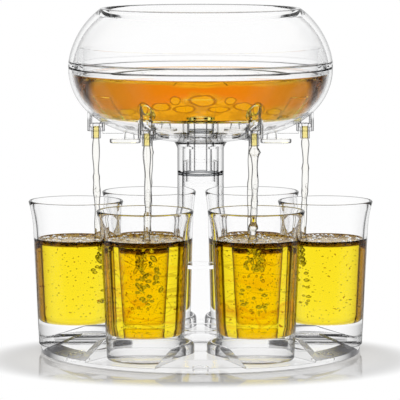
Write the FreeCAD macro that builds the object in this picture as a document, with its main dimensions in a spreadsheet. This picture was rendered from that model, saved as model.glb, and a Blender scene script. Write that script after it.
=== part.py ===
import FreeCAD
import Part
import Sketcher
import math
import os

# Party shot dispenser: a clear double-walled bowl of drink on a stem, which stands in a
# column on a round tray. Six nozzles under the bowl fill six shot glasses at once,
# a rotary valve on the bowl's floor opens and shuts them together, and four stoppers are
# parked under the bowl for the times when fewer glasses are filled.
# Millimetres, +Z up, the origin on the table below the centre. Bay 1 points along +X.

# ---------------------------------------------------------------------------------------
# Driving dimensions
# ---------------------------------------------------------------------------------------

SIZES = [
    ("places", 6, "glasses, bays, nozzles and valve arms"),
    ("snug", 0.05, "radial clearance of a running or push fit"),
    ("slip", 0.3, "clearance between pieces that only pass each other"),
    # tray
    ("seat_ring", 57.0, "radius of the ring of seats"),
    ("tray_reach", 27.5, "how far the tray reaches past the ring of seats"),
    ("tray_bottom", 0.6, "underside of the tray above the table"),
    ("tray_floor", 2.6, "height of the floor of a bay"),
    ("island_top", 6.6, "height of the islands between the bays"),
    ("ridge_top", 11.9, "height of the ridge round a bay"),
    ("ridge_width", 4.5, "thickness of the ridge"),
    ("ridge_rounding", 2.0, "rounding of the ridge's top edges"),
    ("slope_width", 18.5, "width of the zone in which the ridges slope down to the rim"),
    ("rim_thickness", 2.8, "thickness of the tray at the rim of an island"),
    ("bay_clearance", 1.0, "gap between a glass and the side of its bay"),
    ("side_glass_shift", 8.8, "how far the two side glasses stand further out"),
    ("boss_wall", 3.6, "wall of the socket that holds the column"),
    ("boss_top", 12.0, "height of the socket that holds the column"),
    ("pad_radius", 4.0, "radius of a foot pad"),
    ("pad_height", 1.2, "thickness of a foot pad"),
    ("pad_inset", 10.5, "distance of the foot pads' middles from the tray's rim"),
    # column
    ("column_radius", 12.25, "outer radius of the column"),
    ("column_bore", 9.5, "radius of the column's bore"),
    ("column_top", 93.4, "height of the column's upper end"),
    ("web_height", 44.0, "underside of the web that closes the column's bore"),
    ("web_thickness", 2.0, "thickness of that web"),
    ("swivel_ring_height", 1.2, "thickness of the ring that the head turns on"),
    # stem
    ("sleeve_height", 16.4, "height of the stem's sleeve"),
    ("shoulder_height", 2.2, "material over the sleeve's socket"),
    ("flare_length", 4.0, "height of the flare at the sleeve's upper end"),
    ("flare_radius", 14.4, "radius of the sleeve's upper end"),
    ("flare_rounding", 7.0, "radius of the flare"),
    ("tube_radius", 9.5, "outer radius of the stem's tube"),
    ("spindle_bore", 7.05, "radius of the bore that the spindle turns in"),
    ("flange_radius", 24.7, "radius of the flange that carries the bowl"),
    ("flange_thickness", 2.2, "thickness of that flange"),
    ("stem_length", 13.5, "height of the bowl's seat over the sleeve"),
    ("spigot_wall", 2.0, "wall of the spigot"),
    ("spigot_reach", 5.6, "how far the spigot reaches down into the column"),
    ("spigot_socket", 6.0, "length of the spigot that the sleeve holds"),
    # outer shell of the bowl
    ("shell_wall", 1.8, "wall of the outer shell"),
    ("belly_inset", 13.0, "distance of the underside's turn inside the ring of nozzles"),
    ("belly_drop", 7.7, "how far that turn lies below the bowl's seat"),
    ("belly_rounding", 167.0, "radius of the shell's underside"),
    ("hip_reach", 4.8, "distance of the side's start outside the ring of nozzles"),
    ("hip_rise", 2.4, "height of that place over the bowl's seat"),
    ("hip_rounding", 45.6, "radius of the shell between underside and side"),
    ("side_rounding", 31.9, "radius of the shell's side"),
    ("bowl_reach", 14.5, "how far the bowl reaches past the ring of nozzles"),
    ("bowl_depth", 25.1, "height of the lower half over the bowl's seat"),
    # nozzles
    ("nozzle_inset", 2.0, "how far the nozzles stand inside the ring of seats"),
    ("socket_radius", 4.6, "outer radius of a nozzle's socket"),
    ("socket_wall", 1.0, "wall of that socket"),
    ("socket_drop", 8.1, "how far a socket reaches below the bowl's seat"),
    ("nozzle_bore", 1.7, "radius of a nozzle's bore"),
    ("nozzle_wall", 0.8, "wall of a nozzle"),
    ("tip_drop", 12.0, "how far a nozzle reaches below the bowl's seat"),
    ("plug_drop", 6.1, "how far the nozzle's plug lies below the bowl's seat"),
    ("inlet_radius", 3.3, "outer radius of a nozzle's inlet"),
    ("inlet_wall", 0.9, "wall of the inlet"),
    ("inlet_rise", 16.2, "height of the untrimmed inlet over the bowl's seat"),
    ("rib_width", 2.2, "width of a rib under the bowl"),
    ("rib_drop", 9.5, "how far a rib reaches below the bowl's seat"),
    ("rib_cover", 3.0, "how far a rib's hidden top lies below the bowl's seat"),
    ("rib_lead", 1.4, "how far a rib begins inside the underside's turn"),
    # inner bowl
    ("bowl_wall", 2.0, "wall of the inner bowl"),
    ("floor_inset", 3.0, "distance of the flat underside's edge inside the nozzles"),
    ("floor_rounding", 12.0, "radius of the turn from the flat underside to the side"),
    ("floor_corner", 1.6, "how far the floor's edge lies inside the underside's edge"),
    ("inner_rounding", 68.0, "radius of the inner bowl's inner side"),
    ("air_gap", 0.6, "air gap between the bowl's walls at their widest place"),
    ("lip_height", 2.6, "height of the inner bowl's lip"),
    ("lip_shoulder", 1.0, "height of the slope under the lip"),
    ("lip_gap", 0.1, "gap between the lip and the outer shell"),
    # joint between the halves
    ("joint_height", 3.3, "height of the joint ring's outer band"),
    ("joint_gap", 0.5, "gap between the joint ring and the inner bowl's wall"),
    ("joint_wall", 2.7, "wall of the joint ring's upright part"),
    ("joint_drop", 2.6, "how far the joint ring reaches below the seam"),
    ("joint_rise", 7.6, "how far it reaches above its outer band"),
    ("seal_section", 1.2, "width of the section of a seal between the halves"),
    # upper dome
    ("dome_wall", 2.4, "wall of the dome"),
    ("dome_rounding", 43.0, "radius of the dome's side"),
    ("mouth_inset", 17.0, "how far the mouth lies inside the bowl's widest place"),
    ("mouth_wall", 3.0, "wall of the mouth's rim"),
    ("rim_height", 4.6, "height of the mouth's thicker rim"),
    ("rim_foot", 0.9, "distance of the dome's inner edge outside the mouth"),
    ("rim_rounding", 1.1, "rounding of the rim's top edges"),
    ("dome_height", 28.1, "height of the dome over the joint ring's band"),
    # valve
    ("hub_radius", 21.0, "radius of the valve's hub"),
    ("hub_edge", 1.6, "thickness of the hub's edge"),
    ("hub_height", 5.4, "height of the hub at its middle"),
    ("hub_rounding", 36.0, "radius of the hub's dome"),
    ("knob_seat", 9.8, "radius of the knob's foot"),
    ("knob_radius", 6.3, "radius of the knob's top"),
    ("knob_height", 4.0, "height of the knob over the hub"),
    ("knob_foot", 0.6, "height of the knob's upright foot"),
    ("knob_waist", 5.6, "radius of the knob's hollow side"),
    ("knob_rounding", 1.2, "rounding of the knob's top edge"),
    ("arm_width", 7.0, "width of a valve arm"),
    ("arm_thickness", 2.2, "thickness of a valve arm"),
    ("shutter_thickness", 1.8, "thickness of a shutter"),
    ("shutter_foot", 3.06, "thickness of a shutter at its foot"),
    ("shutter_angle", 16.0, "angle that a shutter covers"),
    ("shutter_height", 11.1, "height of a shutter over the bowl's floor"),
    # spindle
    ("spindle_step", 0.6, "height of the spindle's step over the sleeve's socket"),
    ("tail_reach", 11.8, "how far the spindle's tail reaches below its clip"),
    ("tail_radius", 6.0, "radius of the spindle's tail"),
    ("stud_radius", 3.0, "radius of the stud that carries hub and knob"),
    ("stud_reach", 2.4, "how far the stud reaches into the knob"),
    ("spindle_hollow", 3.4, "radius of the spindle's hollow"),
    ("spindle_cap", 4.0, "solid length over the spindle's hollow"),
    ("groove_drop", 10.1, "how far the seal's groove lies below the bowl's seat"),
    ("groove_width", 1.8, "width of the seal's groove"),
    ("groove_depth", 1.4, "depth of the seal's groove"),
    ("seal_gap", 0.02, "gap between the spindle's seal and the bore"),
    ("seal_rounding", 0.45, "rounding of the spindle's seal"),
    ("clip_radius", 8.8, "outer radius of the clip"),
    ("clip_thickness", 1.2, "thickness of the clip"),
    ("clip_depth", 1.5, "depth of the clip's groove"),
    ("clip_play", 0.1, "play of the spindle over its clip"),
    ("clip_gap", 0.025, "gap over and under the clip in its groove"),
    ("clip_mouth", 3.0, "half of the clip's opening"),
    # stoppers
    ("parking_inset", 17.5, "distance of the parked stoppers inside the ring of nozzles"),
    ("parking_hole", 2.55, "radius of a parking hole"),
    ("peg_radius", 2.75, "radius of a stopper's peg at its tab"),
    ("peg_tip_radius", 2.15, "radius of the peg's tip"),
    ("peg_rounding", 1.5, "rounding of the peg's tip"),
    ("peg_height", 5.8, "height of the peg"),
    ("tab_drop", 14.5, "how far a parked stopper hangs below the bowl's seat"),
    ("tab_thickness", 2.2, "thickness of a stopper's tab"),
    ("tab_inner", 6.0, "reach of the tab from the peg towards the stem"),
    ("tab_outer", 10.4, "reach of the tab from the peg outwards"),
    ("tab_rounding", 0.6, "rounding of the tab's edges"),
    # shot glass
    ("glass_height", 77.2, "height of a glass"),
    ("foot_inset", 0.6, "width of the foot's bevel"),
    ("foot_radius", 19.8, "radius of the foot"),
    ("foot_bevel", 1.4, "height of the foot's bevel"),
    ("neck_radius", 22.55, "outer radius under the flared lip"),
    ("neck_height", 61.0, "height of that place over the foot"),
    ("lip_radius", 25.0, "outer radius of the lip"),
    ("lip_band", 1.4, "height of the lip's upper band"),
    ("lip_taper", 0.15, "how much that band narrows downwards"),
    ("lip_flare", 60.0, "radius of the flare under that band"),
    ("glass_wall", 2.1, "wall of the glass"),
    ("lip_wall", 1.6, "wall at the lip"),
    ("glass_base", 12.6, "thickness of the heavy base"),
    ("base_rounding", 4.0, "rounding of the hollow's lower corner"),
]


# ---------------------------------------------------------------------------------------
# A size is a number and the sheet expression that it comes from
# ---------------------------------------------------------------------------------------

class Size:
    """A number with the text of its expression, so that one formula gives both."""

    def __init__(self, number, text):
        self.number = number
        self.text = text

    def joined(self, other, sign, number):
        other_text = other.text if isinstance(other, Size) else repr(float(other))
        return Size(number, "(" + self.text + " " + sign + " " + other_text + ")")

    def __add__(self, other):
        return self.joined(other, "+", self.number + plain(other))

    def __sub__(self, other):
        return self.joined(other, "-", self.number - plain(other))

    def __mul__(self, other):
        return self.joined(other, "*", self.number * plain(other))

    def __truediv__(self, other):
        return self.joined(other, "/", self.number / plain(other))

    def __neg__(self):
        return Size(-self.number, "(0 - " + self.text + ")")


def plain(value):
    """The number of a Size, or the number itself."""
    return value.number if isinstance(value, Size) else float(value)


doc = FreeCAD.newDocument("party_shot_dispenser")
sheet = doc.addObject("Spreadsheet::Sheet", "sizes")
sheet.Label = "sizes"
for row, (alias, number, note) in enumerate(SIZES, start=1):
    sheet.set("A" + str(row), alias)
    sheet.set("B" + str(row), str(number))
    sheet.set("C" + str(row), note)
    sheet.setAlias("B" + str(row), alias)
doc.recompute()


class Sheet:
    """Gives each alias of the sheet as a Size."""

    def __getattr__(self, alias):
        return Size(float(sheet.get(alias)), "sizes." + alias)


s = Sheet()
PLACES = int(s.places.number)
STEP_ANGLE = 360.0 / PLACES


# ---------------------------------------------------------------------------------------
# Sketches and features
# ---------------------------------------------------------------------------------------

def bind(item, prop, size):
    """Sets a property to a size and ties it to the sheet."""
    setattr(item, prop, plain(size))
    if isinstance(size, Size):
        item.setExpression(prop, size.text)


def new_body(name):
    body = doc.addObject("PartDesign::Body", name)
    body.Label = name
    return body


def origin_item(body, role):
    return [item for item in body.Origin.OriginFeatures if item.Role == role][0]


def new_sketch(body, name, role, height=None):
    """A sketch on one of the body's own planes, lifted by height along its normal."""
    sketch = body.newObject("Sketcher::SketchObject", name)
    sketch.AttachmentSupport = (origin_item(body, role), [""])
    sketch.MapMode = "FlatFace"
    if height is not None:
        sketch.AttachmentOffset = FreeCAD.Placement(
            FreeCAD.Vector(0, 0, plain(height)), FreeCAD.Rotation())
        sketch.setExpression(".AttachmentOffset.Base.z", height.text)
    return sketch


def pin_coordinate(sketch, kind, edge, end, value):
    """Fixes one coordinate of a point, from the sketch's origin."""
    if not isinstance(value, Size) and value == 0:
        axis = -2 if kind == "DistanceX" else -1
        sketch.addConstraint(Sketcher.Constraint("PointOnObject", edge, end, axis))
        return
    rule = sketch.addConstraint(Sketcher.Constraint(kind, -1, 1, edge, end, plain(value)))
    if isinstance(value, Size):
        sketch.setExpression("Constraints[" + str(rule) + "]", value.text)


def arc_between(first, last, radius):
    """The arc of a radius from one point to another. It bends to the right of the way
    from first to last where the radius is positive, and to the left where negative."""
    chord = last - first
    half = chord.Length / 2
    reach = math.sqrt(max(radius * radius - half * half, 0.0))
    left = FreeCAD.Vector(-chord.y, chord.x, 0).normalize()
    side = 1 if radius > 0 else -1
    centre = (first + last) * 0.5 + left * (reach * side)
    start, end = (first, last) if radius > 0 else (last, first)
    start_angle = math.atan2(start.y - centre.y, start.x - centre.x)
    end_angle = math.atan2(end.y - centre.y, end.x - centre.x)
    circle = Part.Circle(centre, FreeCAD.Vector(0, 0, 1), abs(radius))
    return Part.ArcOfCircle(circle, start_angle, end_angle)


def draw_outline(sketch, corners):
    """A closed outline. A corner is (x, y), or (x, y, radius) where an arc leads to the
    next corner: its circle's centre lies to the left of the way there, or to the right
    where the radius is negative."""
    points = [FreeCAD.Vector(plain(c[0]), plain(c[1]), 0) for c in corners]
    ends = []
    for number, corner in enumerate(corners):
        first = points[number]
        last = points[(number + 1) % len(corners)]
        if len(corner) == 3:
            edge = sketch.addGeometry(arc_between(first, last, plain(corner[2])), False)
            ends.append((edge, 1, 2) if plain(corner[2]) > 0 else (edge, 2, 1))
        else:
            edge = sketch.addGeometry(Part.LineSegment(first, last), False)
            ends.append((edge, 1, 2))
    for number, (edge, start, end) in enumerate(ends):
        next_edge, next_start = ends[(number + 1) % len(ends)][:2]
        sketch.addConstraint(
            Sketcher.Constraint("Coincident", edge, end, next_edge, next_start))
    for number, corner in enumerate(corners):
        edge, start, end = ends[number]
        pin_coordinate(sketch, "DistanceX", edge, start, corner[0])
        pin_coordinate(sketch, "DistanceY", edge, start, corner[1])
        if len(corner) == 3:
            radius = corner[2] if plain(corner[2]) > 0 else -corner[2]
            rule = sketch.addConstraint(
                Sketcher.Constraint("Radius", edge, abs(plain(radius))))
            sketch.setExpression("Constraints[" + str(rule) + "]", radius.text)


def draw_circle(sketch, x, radius, y=0):
    centre = FreeCAD.Vector(plain(x), plain(y), 0)
    circle = Part.Circle(centre, FreeCAD.Vector(0, 0, 1), plain(radius))
    edge = sketch.addGeometry(circle, False)
    pin_coordinate(sketch, "DistanceX", edge, 3, x)
    pin_coordinate(sketch, "DistanceY", edge, 3, y)
    rule = sketch.addConstraint(Sketcher.Constraint("Radius", edge, plain(radius)))
    sketch.setExpression("Constraints[" + str(rule) + "]", radius.text)


def turn(body, name, corners, cut=False, angle=360.0):
    """Turns an outline of (radius, height) corners about the body's Z axis."""
    sketch = new_sketch(body, name + "_outline", "XZ_Plane")
    draw_outline(sketch, corners)
    kind = "PartDesign::Groove" if cut else "PartDesign::Revolution"
    feature = body.newObject(kind, name)
    feature.Profile = sketch
    feature.ReferenceAxis = (sketch, ["V_Axis"])
    if isinstance(angle, Size):
        bind(feature, "Angle", angle)
        feature.Midplane = True
    return feature


def raise_pad(body, name, bottom, top, draw):
    """Pads a sketch on a level plane from bottom up to top."""
    sketch = new_sketch(body, name + "_outline", "XY_Plane", bottom)
    draw(sketch)
    pad = body.newObject("PartDesign::Pad", name)
    pad.Profile = sketch
    bind(pad, "Length", top - bottom)
    return pad


def sink_pocket(body, name, top, bottom, draw):
    """Pockets a sketch on a level plane from top down to bottom."""
    sketch = new_sketch(body, name + "_outline", "XY_Plane", top)
    draw(sketch)
    pocket = body.newObject("PartDesign::Pocket", name)
    pocket.Profile = sketch
    bind(pocket, "Length", top - bottom)
    return pocket


def ring_of(body, name, features):
    """Repeats features at every place round the body's Z axis."""
    pattern = body.newObject("PartDesign::PolarPattern", name)
    pattern.Originals = features
    pattern.Axis = (origin_item(body, "Z_Axis"), [""])
    pattern.Angle = 360.0
    pattern.Occurrences = PLACES
    pattern.setExpression("Occurrences", s.places.text)
    body.Tip = pattern
    return pattern


def round_edges(body, name, radius, wanted):
    """Rounds the edges of the body's last feature for which wanted(edge) is true."""
    doc.recompute()
    base = body.Tip
    names = ["Edge" + str(number) for number, edge in enumerate(base.Shape.Edges, start=1)
             if wanted(edge)]
    fillet = body.newObject("PartDesign::Fillet", name)
    fillet.Base = (base, names)
    bind(fillet, "Radius", radius)
    return fillet


def level_at(height):
    """A test for edges that lie level at a height."""
    def test(edge):
        box = edge.BoundBox
        return abs(box.ZMin - plain(height)) < 1e-4 and abs(box.ZMax - plain(height)) < 1e-4
    return test


def place_on_ring(item, ring, place, height=0.0):
    """Puts an item on a ring round the Z axis, turned to face outwards."""
    rotation = FreeCAD.Rotation(FreeCAD.Vector(0, 0, 1), place * STEP_ANGLE)
    offset = rotation.multVec(FreeCAD.Vector(plain(ring), 0, plain(height)))
    item.Placement = FreeCAD.Placement(offset, rotation)


# ---------------------------------------------------------------------------------------
# Shared outlines
# ---------------------------------------------------------------------------------------

# the base
tray_radius = s.seat_ring + s.tray_reach
bay_radius = s.foot_radius + s.bay_clearance
pad_ring = tray_radius - s.pad_inset
past_rim = tray_radius + s.ridge_width

# heights, from the column upwards
web_top = s.web_height + s.web_thickness
spigot_bottom = s.column_top - s.spigot_reach
sleeve_bottom = s.column_top + s.swivel_ring_height
sleeve_top = sleeve_bottom + s.sleeve_height
shoulder_bottom = sleeve_top - s.shoulder_height
spigot_top = sleeve_bottom + s.spigot_socket
bowl_seat = sleeve_top + s.stem_length
flange_bottom = bowl_seat - s.flange_thickness
belly_height = bowl_seat - s.belly_drop
hip_height = bowl_seat + s.hip_rise
inner_floor = bowl_seat + s.bowl_wall
hub_bottom = inner_floor + s.slip
hub_top = hub_bottom + s.hub_height
stud_top = hub_top + s.stud_reach
seam_height = bowl_seat + s.bowl_depth
side_top = seam_height - s.lip_height
joint_top = seam_height + s.joint_height
top_height = joint_top + s.dome_height
tab_bottom = bowl_seat - s.tab_drop
tab_top = tab_bottom + s.tab_thickness

# radii, from the ring of nozzles inwards and outwards
nozzle_ring = s.seat_ring - s.nozzle_inset
stopper_ring = nozzle_ring - s.parking_inset
belly_radius = nozzle_ring - s.belly_inset
hip_radius = nozzle_ring + s.hip_reach
bowl_radius = nozzle_ring + s.bowl_reach
floor_radius = nozzle_ring - s.floor_inset
inner_floor_radius = floor_radius - s.floor_corner
inner_top_radius = bowl_radius - s.shell_wall - s.air_gap
inner_bowl_radius = inner_top_radius - s.bowl_wall
lip_radius = bowl_radius - s.shell_wall - s.lip_gap
joint_outer = inner_bowl_radius - s.joint_gap
joint_bore = joint_outer - s.joint_wall
mouth_radius = bowl_radius - s.mouth_inset
seal_half = s.seal_section / 2
lower_seal_radius = (inner_bowl_radius + lip_radius) / 2
upper_seal_radius = bowl_radius - s.dome_wall / 2

# fits round the stem
spigot_radius = s.column_bore - s.snug
spindle_radius = s.spindle_bore - s.snug
groove_bottom = bowl_seat - s.groove_drop
groove_top = groove_bottom + s.groove_width
clip_groove_top = shoulder_bottom - s.clip_play
clip_groove_bottom = clip_groove_top - s.clip_thickness - s.clip_gap * 2


BELLY_SLOPE = math.radians(16.3)
HIP_SLOPE = math.radians(43.5)


def shell_outline(offset):
    """The shell's outline from its lower middle up to the upright side, moved inwards by
    an offset: each corner moves along the outline's normal there."""
    return [
        (s.flare_radius, sleeve_top + offset, s.belly_rounding - offset),
        (belly_radius - offset * math.sin(BELLY_SLOPE),
         belly_height + offset * math.cos(BELLY_SLOPE), s.hip_rounding - offset),
        (hip_radius - offset * math.sin(HIP_SLOPE),
         hip_height + offset * math.cos(HIP_SLOPE), s.side_rounding - offset),
        (bowl_radius - offset, side_top),
    ]


# ---------------------------------------------------------------------------------------
# Base: tray, foot pads, column
# ---------------------------------------------------------------------------------------

def bay_outline(sketch):
    """The U of a bay, open at the tray's rim."""
    draw_outline(sketch, [
        (past_rim, -bay_radius),
        (past_rim, bay_radius),
        (s.seat_ring, bay_radius, bay_radius),
        (s.seat_ring - bay_radius, 0, bay_radius),
        (s.seat_ring, -bay_radius),
    ])


def ridge_outline(sketch):
    """The band that follows the U of a bay on its outside."""
    outside = bay_radius + s.ridge_width
    draw_outline(sketch, [
        (past_rim, bay_radius),
        (past_rim, outside),
        (s.seat_ring, outside, outside),
        (s.seat_ring - outside, 0, outside),
        (s.seat_ring, -outside),
        (past_rim, -outside),
        (past_rim, -bay_radius),
        (s.seat_ring, -bay_radius, -bay_radius),
        (s.seat_ring - bay_radius, 0, -bay_radius),
        (s.seat_ring, bay_radius),
    ])


def make_tray():
    """The disc with its bays. Islands and ridges slope down to the rim."""
    body = new_body("tray")
    boss_radius = s.column_radius + s.boss_wall
    turn(body, "disc", [
        (0, s.tray_bottom),
        (tray_radius, s.tray_bottom),
        (tray_radius, s.island_top),
        (0, s.island_top),
    ])
    bay = sink_pocket(body, "bay", s.island_top, s.tray_floor, bay_outline)
    ring_of(body, "bays", [bay])
    ridge = raise_pad(body, "ridge", s.tray_floor, s.ridge_top, ridge_outline)
    ring_of(body, "ridges", [ridge])
    round_edges(body, "ridge_rounding", s.ridge_rounding, level_at(s.ridge_top))
    turn(body, "rim", [
        (tray_radius, s.tray_bottom - s.pad_height),
        (past_rim + bay_radius, s.tray_bottom - s.pad_height),
        (past_rim + bay_radius, s.ridge_top + s.pad_height),
        (tray_radius, s.ridge_top + s.pad_height),
    ], cut=True)
    slope_start = tray_radius - s.slope_width
    turn(body, "slope", [
        (slope_start, s.ridge_top),
        (tray_radius, s.tray_bottom + s.rim_thickness),
        (past_rim, s.tray_bottom + s.rim_thickness),
        (past_rim, s.ridge_top + s.pad_height),
        (slope_start, s.ridge_top + s.pad_height),
    ], cut=True)
    turn(body, "boss", [
        (0, s.tray_floor),
        (boss_radius, s.tray_floor),
        (boss_radius, s.boss_top),
        (0, s.boss_top),
    ])
    sink_pocket(body, "column_socket", s.boss_top, s.tray_floor,
                lambda sketch: draw_circle(sketch, 0, s.column_radius + s.snug))
    half_step = math.radians(STEP_ANGLE / 2)
    recess = sink_pocket(
        body, "pad_recess", s.pad_height, s.tray_bottom,
        lambda sketch: draw_circle(sketch, pad_ring * math.cos(half_step),
                                   s.pad_radius + s.snug, pad_ring * math.sin(half_step)))
    ring_of(body, "pad_recesses", [recess])
    return body


def make_foot_pads():
    """Six clear pads under the islands, as one group of separate solids."""
    pads = []
    for place in range(PLACES):
        pad = doc.addObject("Part::Cylinder", "foot_pad_" + str(place + 1))
        bind(pad, "Radius", s.pad_radius)
        bind(pad, "Height", s.pad_height)
        place_on_ring(pad, pad_ring, place + 0.5)
        pads.append(pad)
    group = doc.addObject("Part::Compound", "tray_feet")
    group.Label = "tray_feet"
    group.Links = pads
    return group


def make_column():
    body = new_body("column")
    turn(body, "wall", [
        (0, s.web_height),
        (s.column_bore, s.web_height),
        (s.column_bore, s.tray_floor),
        (s.column_radius, s.tray_floor),
        (s.column_radius, s.column_top),
        (s.column_bore, s.column_top),
        (s.column_bore, web_top),
        (0, web_top),
    ])
    return body


def make_swivel_ring():
    body = new_body("swivel_ring")
    turn(body, "ring", [
        (s.column_bore + s.snug, s.column_top),
        (s.column_radius, s.column_top),
        (s.column_radius, sleeve_bottom),
        (s.column_bore + s.snug, sleeve_bottom),
    ])
    return body


# ---------------------------------------------------------------------------------------
# Head: stem, spigot, bowl
# ---------------------------------------------------------------------------------------

def make_stem():
    """Flange, tube and flared sleeve in one piece, with the spindle's bore."""
    body = new_body("stem")
    turn(body, "stem_body", [
        (s.spindle_bore, shoulder_bottom),
        (spigot_radius + s.snug, shoulder_bottom),
        (spigot_radius + s.snug, sleeve_bottom),
        (s.column_radius, sleeve_bottom),
        (s.column_radius, sleeve_top - s.flare_length, -s.flare_rounding),
        (s.flare_radius, sleeve_top),
        (s.tube_radius, sleeve_top),
        (s.tube_radius, flange_bottom),
        (s.flange_radius, flange_bottom),
        (s.flange_radius, bowl_seat),
        (s.spindle_bore, bowl_seat),
    ])
    return body


def make_spigot():
    """The closed tube that stands in the column's bore."""
    body = new_body("spigot")
    turn(body, "spigot_body", [
        (0, spigot_bottom),
        (spigot_radius, spigot_bottom),
        (spigot_radius, spigot_top),
        (spigot_radius - s.spigot_wall, spigot_top),
        (spigot_radius - s.spigot_wall, spigot_bottom + s.spigot_wall),
        (0, spigot_bottom + s.spigot_wall),
    ])
    return body


def make_outer_shell():
    """The bowl's lower outer shell, with the nozzles' sockets, ribs and parking holes."""
    body = new_body("outer_shell")
    void_bottom = sleeve_top + s.shell_wall
    socket_bottom = bowl_seat - s.socket_drop
    turn(body, "outer_form", [
        (0, sleeve_top),
        *shell_outline(0),
        (bowl_radius, seam_height),
        (0, seam_height),
    ])
    rib_start = belly_radius - s.rib_lead
    socket = raise_pad(body, "socket", socket_bottom, hip_height,
                       lambda sketch: draw_circle(sketch, nozzle_ring, s.socket_radius))
    rib = raise_pad(body, "rib", bowl_seat - s.rib_drop, bowl_seat - s.rib_cover,
                    lambda sketch: draw_outline(sketch, [
                        (rib_start, -s.rib_width / 2),
                        (nozzle_ring, -s.rib_width / 2),
                        (nozzle_ring, s.rib_width / 2),
                        (rib_start, s.rib_width / 2),
                    ]))
    ring_of(body, "sockets_and_ribs", [socket, rib])
    turn(body, "hollow", [
        (0, void_bottom),
        *shell_outline(s.shell_wall),
        (bowl_radius - s.shell_wall, seam_height + s.joint_height),
        (0, seam_height + s.joint_height),
    ], cut=True)
    turn(body, "tube_hole", [
        (0, sleeve_top - s.shell_wall),
        (s.tube_radius + s.snug, sleeve_top - s.shell_wall),
        (s.tube_radius + s.snug, void_bottom + s.shell_wall),
        (0, void_bottom + s.shell_wall),
    ], cut=True)
    bore = sink_pocket(
        body, "socket_bore", hip_height + s.joint_height, socket_bottom - s.shell_wall,
        lambda sketch: draw_circle(sketch, nozzle_ring, s.socket_radius - s.socket_wall))
    hole = sink_pocket(
        body, "parking_hole", hip_height, sleeve_top,
        lambda sketch: draw_circle(sketch, stopper_ring, s.parking_hole))
    ring_of(body, "bores_and_holes", [bore, hole])
    return body


def inner_bowl_cavity(top):
    """The outline of the space inside the inner bowl, up to a height."""
    return [
        (0, inner_floor),
        (inner_floor_radius, inner_floor, s.inner_rounding),
        (inner_bowl_radius, side_top),
        (inner_bowl_radius, top),
        (0, top),
    ]


def make_inner_bowl():
    """The bowl that holds the drink. It nests in the shell, with air under its floor."""
    body = new_body("inner_bowl")
    floor_hole = s.spindle_bore + s.slip
    side = shell_outline(s.shell_wall + s.air_gap)[2:]
    turn(body, "bowl_form", [
        (0, bowl_seat),
        (floor_radius, bowl_seat, s.floor_rounding),
        *side,
        (lip_radius, side_top + s.lip_shoulder),
        (lip_radius, seam_height),
        (0, seam_height),
    ])
    turn(body, "cavity", inner_bowl_cavity(seam_height + s.lip_height), cut=True)
    turn(body, "spindle_hole", [
        (0, bowl_seat - s.bowl_wall),
        (floor_hole, bowl_seat - s.bowl_wall),
        (floor_hole, inner_floor + s.bowl_wall),
        (0, inner_floor + s.bowl_wall),
    ], cut=True)
    inlet = sink_pocket(
        body, "inlet_hole", seam_height, bowl_seat - s.bowl_wall,
        lambda sketch: draw_circle(sketch, nozzle_ring, s.inlet_radius + s.snug))
    ring_of(body, "inlet_holes", [inlet])
    return body


def make_joint_ring():
    """The ring that joins the bowl's halves: an outer band and an upright wall."""
    body = new_body("joint_ring")
    turn(body, "ring_form", [
        (joint_bore, seam_height - s.joint_drop),
        (joint_outer, seam_height - s.joint_drop),
        (joint_outer, seam_height),
        (bowl_radius, seam_height),
        (bowl_radius, joint_top),
        (joint_outer, joint_top),
        (joint_outer, joint_top + s.joint_rise),
        (joint_bore, joint_top + s.joint_rise),
    ])
    for name, radius, height in (("lower_groove", lower_seal_radius, seam_height),
                                 ("upper_groove", upper_seal_radius, joint_top)):
        turn(body, name, [
            (radius - seal_half - s.snug, height - seal_half),
            (radius + seal_half + s.snug, height - seal_half),
            (radius + seal_half + s.snug, height + seal_half),
            (radius - seal_half - s.snug, height + seal_half),
        ], cut=True)
    return body


def make_joint_seal(name, radius, low, high):
    """A flat silicone ring that fills one groove of the joint ring."""
    body = new_body(name)
    turn(body, "seal_form", [
        (radius - seal_half, low),
        (radius + seal_half, low),
        (radius + seal_half, high),
        (radius - seal_half, high),
    ])
    return body


def make_upper_dome():
    """The bowl's upper half, open at the top, with a thicker rim round the mouth."""
    body = new_body("upper_dome")
    rim_bottom = top_height - s.rim_height
    inner_rim = mouth_radius - s.mouth_wall
    turn(body, "dome_form", [
        (bowl_radius - s.dome_wall, joint_top),
        (bowl_radius, joint_top, s.dome_rounding),
        (mouth_radius, top_height),
        (inner_rim, top_height),
        (inner_rim, rim_bottom + s.rim_rounding),
        (mouth_radius + s.rim_foot, rim_bottom, s.dome_wall - s.dome_rounding),
    ])
    round_edges(body, "rim_rounding", s.rim_rounding, level_at(top_height))
    return body


# ---------------------------------------------------------------------------------------
# Nozzles
# ---------------------------------------------------------------------------------------

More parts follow.
